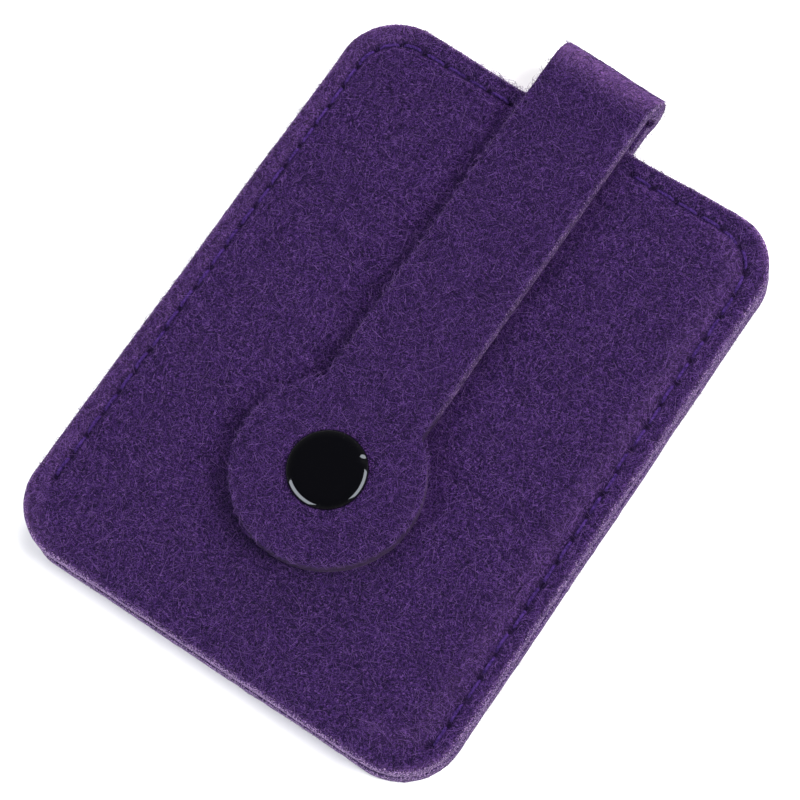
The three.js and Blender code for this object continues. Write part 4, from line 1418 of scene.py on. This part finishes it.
def leaf_fibres():
    span = np.array([2 * LEAF_HALF_WIDTH - 3.0, LEAF_FIBRE_LENGTH])
    spots = even_spots(LEAF_FIBRES, span) - span / 2 + (0, LEAF_FIBRE_MIDDLE)
    paths = face_fibres(LEAF_FIBRES, spots, leaf_top, LEAF_LIFT)
    paths[:, :, 0] = np.clip(paths[:, :, 0], -LEAF_HALF_WIDTH, LEAF_HALF_WIDTH)
    paths[:, :, 1] = np.clip(paths[:, :, 1], leaf_low[1], LEAF_SHOULDER_Y)
    shade = shades_in_turn(LEAF_FIBRES, LEAF_SHADES)
    mesh = fibre_mesh("leaf_fibres", paths, rng.uniform(*LEAF_RADII, LEAF_FIBRES), shade)
    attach(finish_piece("leaf_fibres", mesh, CREAM_FIBRES), "leaf")


def strap_tail():
    """The strap's thinned end, which is riveted under the leaf's neck."""
    low, high = tail_low, tail_high
    outline = [(low[0], low[1]), (high[0], low[1]), (high[0], high[1]), (low[0], high[1])]
    mesh, _ = felt_block("strap_tail_felt", outline, low[2], high[2], STRAP_VOXEL)
    points = read_points(mesh)
    share = (points[:, 2] - low[2]) / (high[2] - low[2])
    full = smooth_step(TAIL_LAP_END - 0.2, TAIL_LAP_END + 0.4, points[:, 1])
    top = TAIL_LAP_TOP + (high[2] - TAIL_LAP_TOP) * full
    points[:, 2] = low[2] + share * (top - low[2])
    write_points(mesh, points)
    piece = finish_piece("strap_tail_felt", mesh, [felt], ["strap_tail"])
    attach(piece, "leaf")


def finish_cad_node(node, material):
    """Gives a CAD node that stays as it is a better material."""
    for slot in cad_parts[node].material_slots:
        slot.material = material


leaf()
leaf_fibres()
strap_tail()
for needle in NEEDLES:
    finish_cad_node(needle, steel)
for node in ("strap_rivet_cap", "strap_rivet_post"):
    finish_cad_node(node, brass)
finish_cad_node("snap_stud_cap", plastic)


# ---- Floor and light ----
FLOOR_HALF = 3.0
WORLD_HEIGHTS = (0.15, 0.85)
COOL = (0.93, 0.96, 1.0)
WARM = (1.0, 0.99, 0.97)
GLINT = (0.84, 0.9, 1.0)


def add_floor():
    corners = [(x * FLOOR_HALF, y * FLOOR_HALF, 0) for x, y in ((-1, -1), (1, -1), (1, 1), (-1, 1))]
    mesh = mesh_of("floor", corners, [(0, 1, 2, 3)])
    pale = (0.86, 0.86, 0.87, 1)
    shader = Shader("pale_floor", Roughness=0.6, Specular_IOR_Level=0.2, Base_Color=pale)
    mesh.materials.append(shader.material)
    new_object("floor", mesh)


def add_softbox(name, azimuth, elevation, width, height, power, colour, reflected=False):
    """A soft light a metre away that faces the case, azimuth counted from +X to +Y.

    A reflected one only shows in gloss, and the others only light surfaces.
    """
    data = bpy.data.lights.new(name, "AREA")
    data.shape = "RECTANGLE"
    data.size = width
    data.size_y = height
    data.energy = power
    data.color = colour
    lamp = new_object(name, data)
    level = math.cos(math.radians(elevation))
    away = Vector((
        math.cos(math.radians(azimuth)) * level,
        math.sin(math.radians(azimuth)) * level,
        math.sin(math.radians(elevation)),
    ))
    lamp.visible_glossy = reflected
    lamp.visible_diffuse = not reflected
    lamp.location = away
    lamp.rotation_mode = "QUATERNION"
    lamp.rotation_quaternion = away.to_track_quat("Z", "Y")


def add_world(low_strength, high_strength):
    """White light from all round, dimmer overhead."""
    world = bpy.data.worlds.new("studio")
    world.use_nodes = True
    tree = world.node_tree
    place = tree.nodes.new("ShaderNodeTexCoord")
    split = tree.nodes.new("ShaderNodeSeparateXYZ")
    ramp = tree.nodes.new("ShaderNodeMapRange")
    values = (*WORLD_HEIGHTS, low_strength, high_strength)
    for socket, value in zip(("From Min", "From Max", "To Min", "To Max"), values):
        ramp.inputs[socket].default_value = value
    background = tree.nodes["Background"]
    background.inputs["Color"].default_value = (1, 1, 1, 1)
    tree.links.new(place.outputs["Generated"], split.inputs[0])
    tree.links.new(split.outputs["Z"], ramp.inputs["Value"])
    tree.links.new(ramp.outputs[0], background.inputs["Strength"])
    bpy.context.scene.world = world


add_floor()
add_softbox("softbox_mouth_side", -112, 34, 0.9, 0.5, 10, COOL)
add_softbox("softbox_key", 20, 50, 0.5, 0.5, 17.5, WARM)
add_softbox("softbox_left", -165, 45, 0.6, 0.6, 2, WARM)
add_softbox("softbox_top", 130, 68, 0.9, 0.9, 3, WARM)
add_softbox("softbox_loop_side", 100, 18, 0.6, 0.6, 19, WARM)
add_softbox("glint_mouth_side", -119, 34, 0.9, 0.65, 18, GLINT, reflected=True)
add_softbox("glint_right_side", 20, 36, 0.9, 0.65, 18, GLINT, reflected=True)
add_world(0.18, 0.03)
bpy.context.scene.view_settings.view_transform = "Standard"
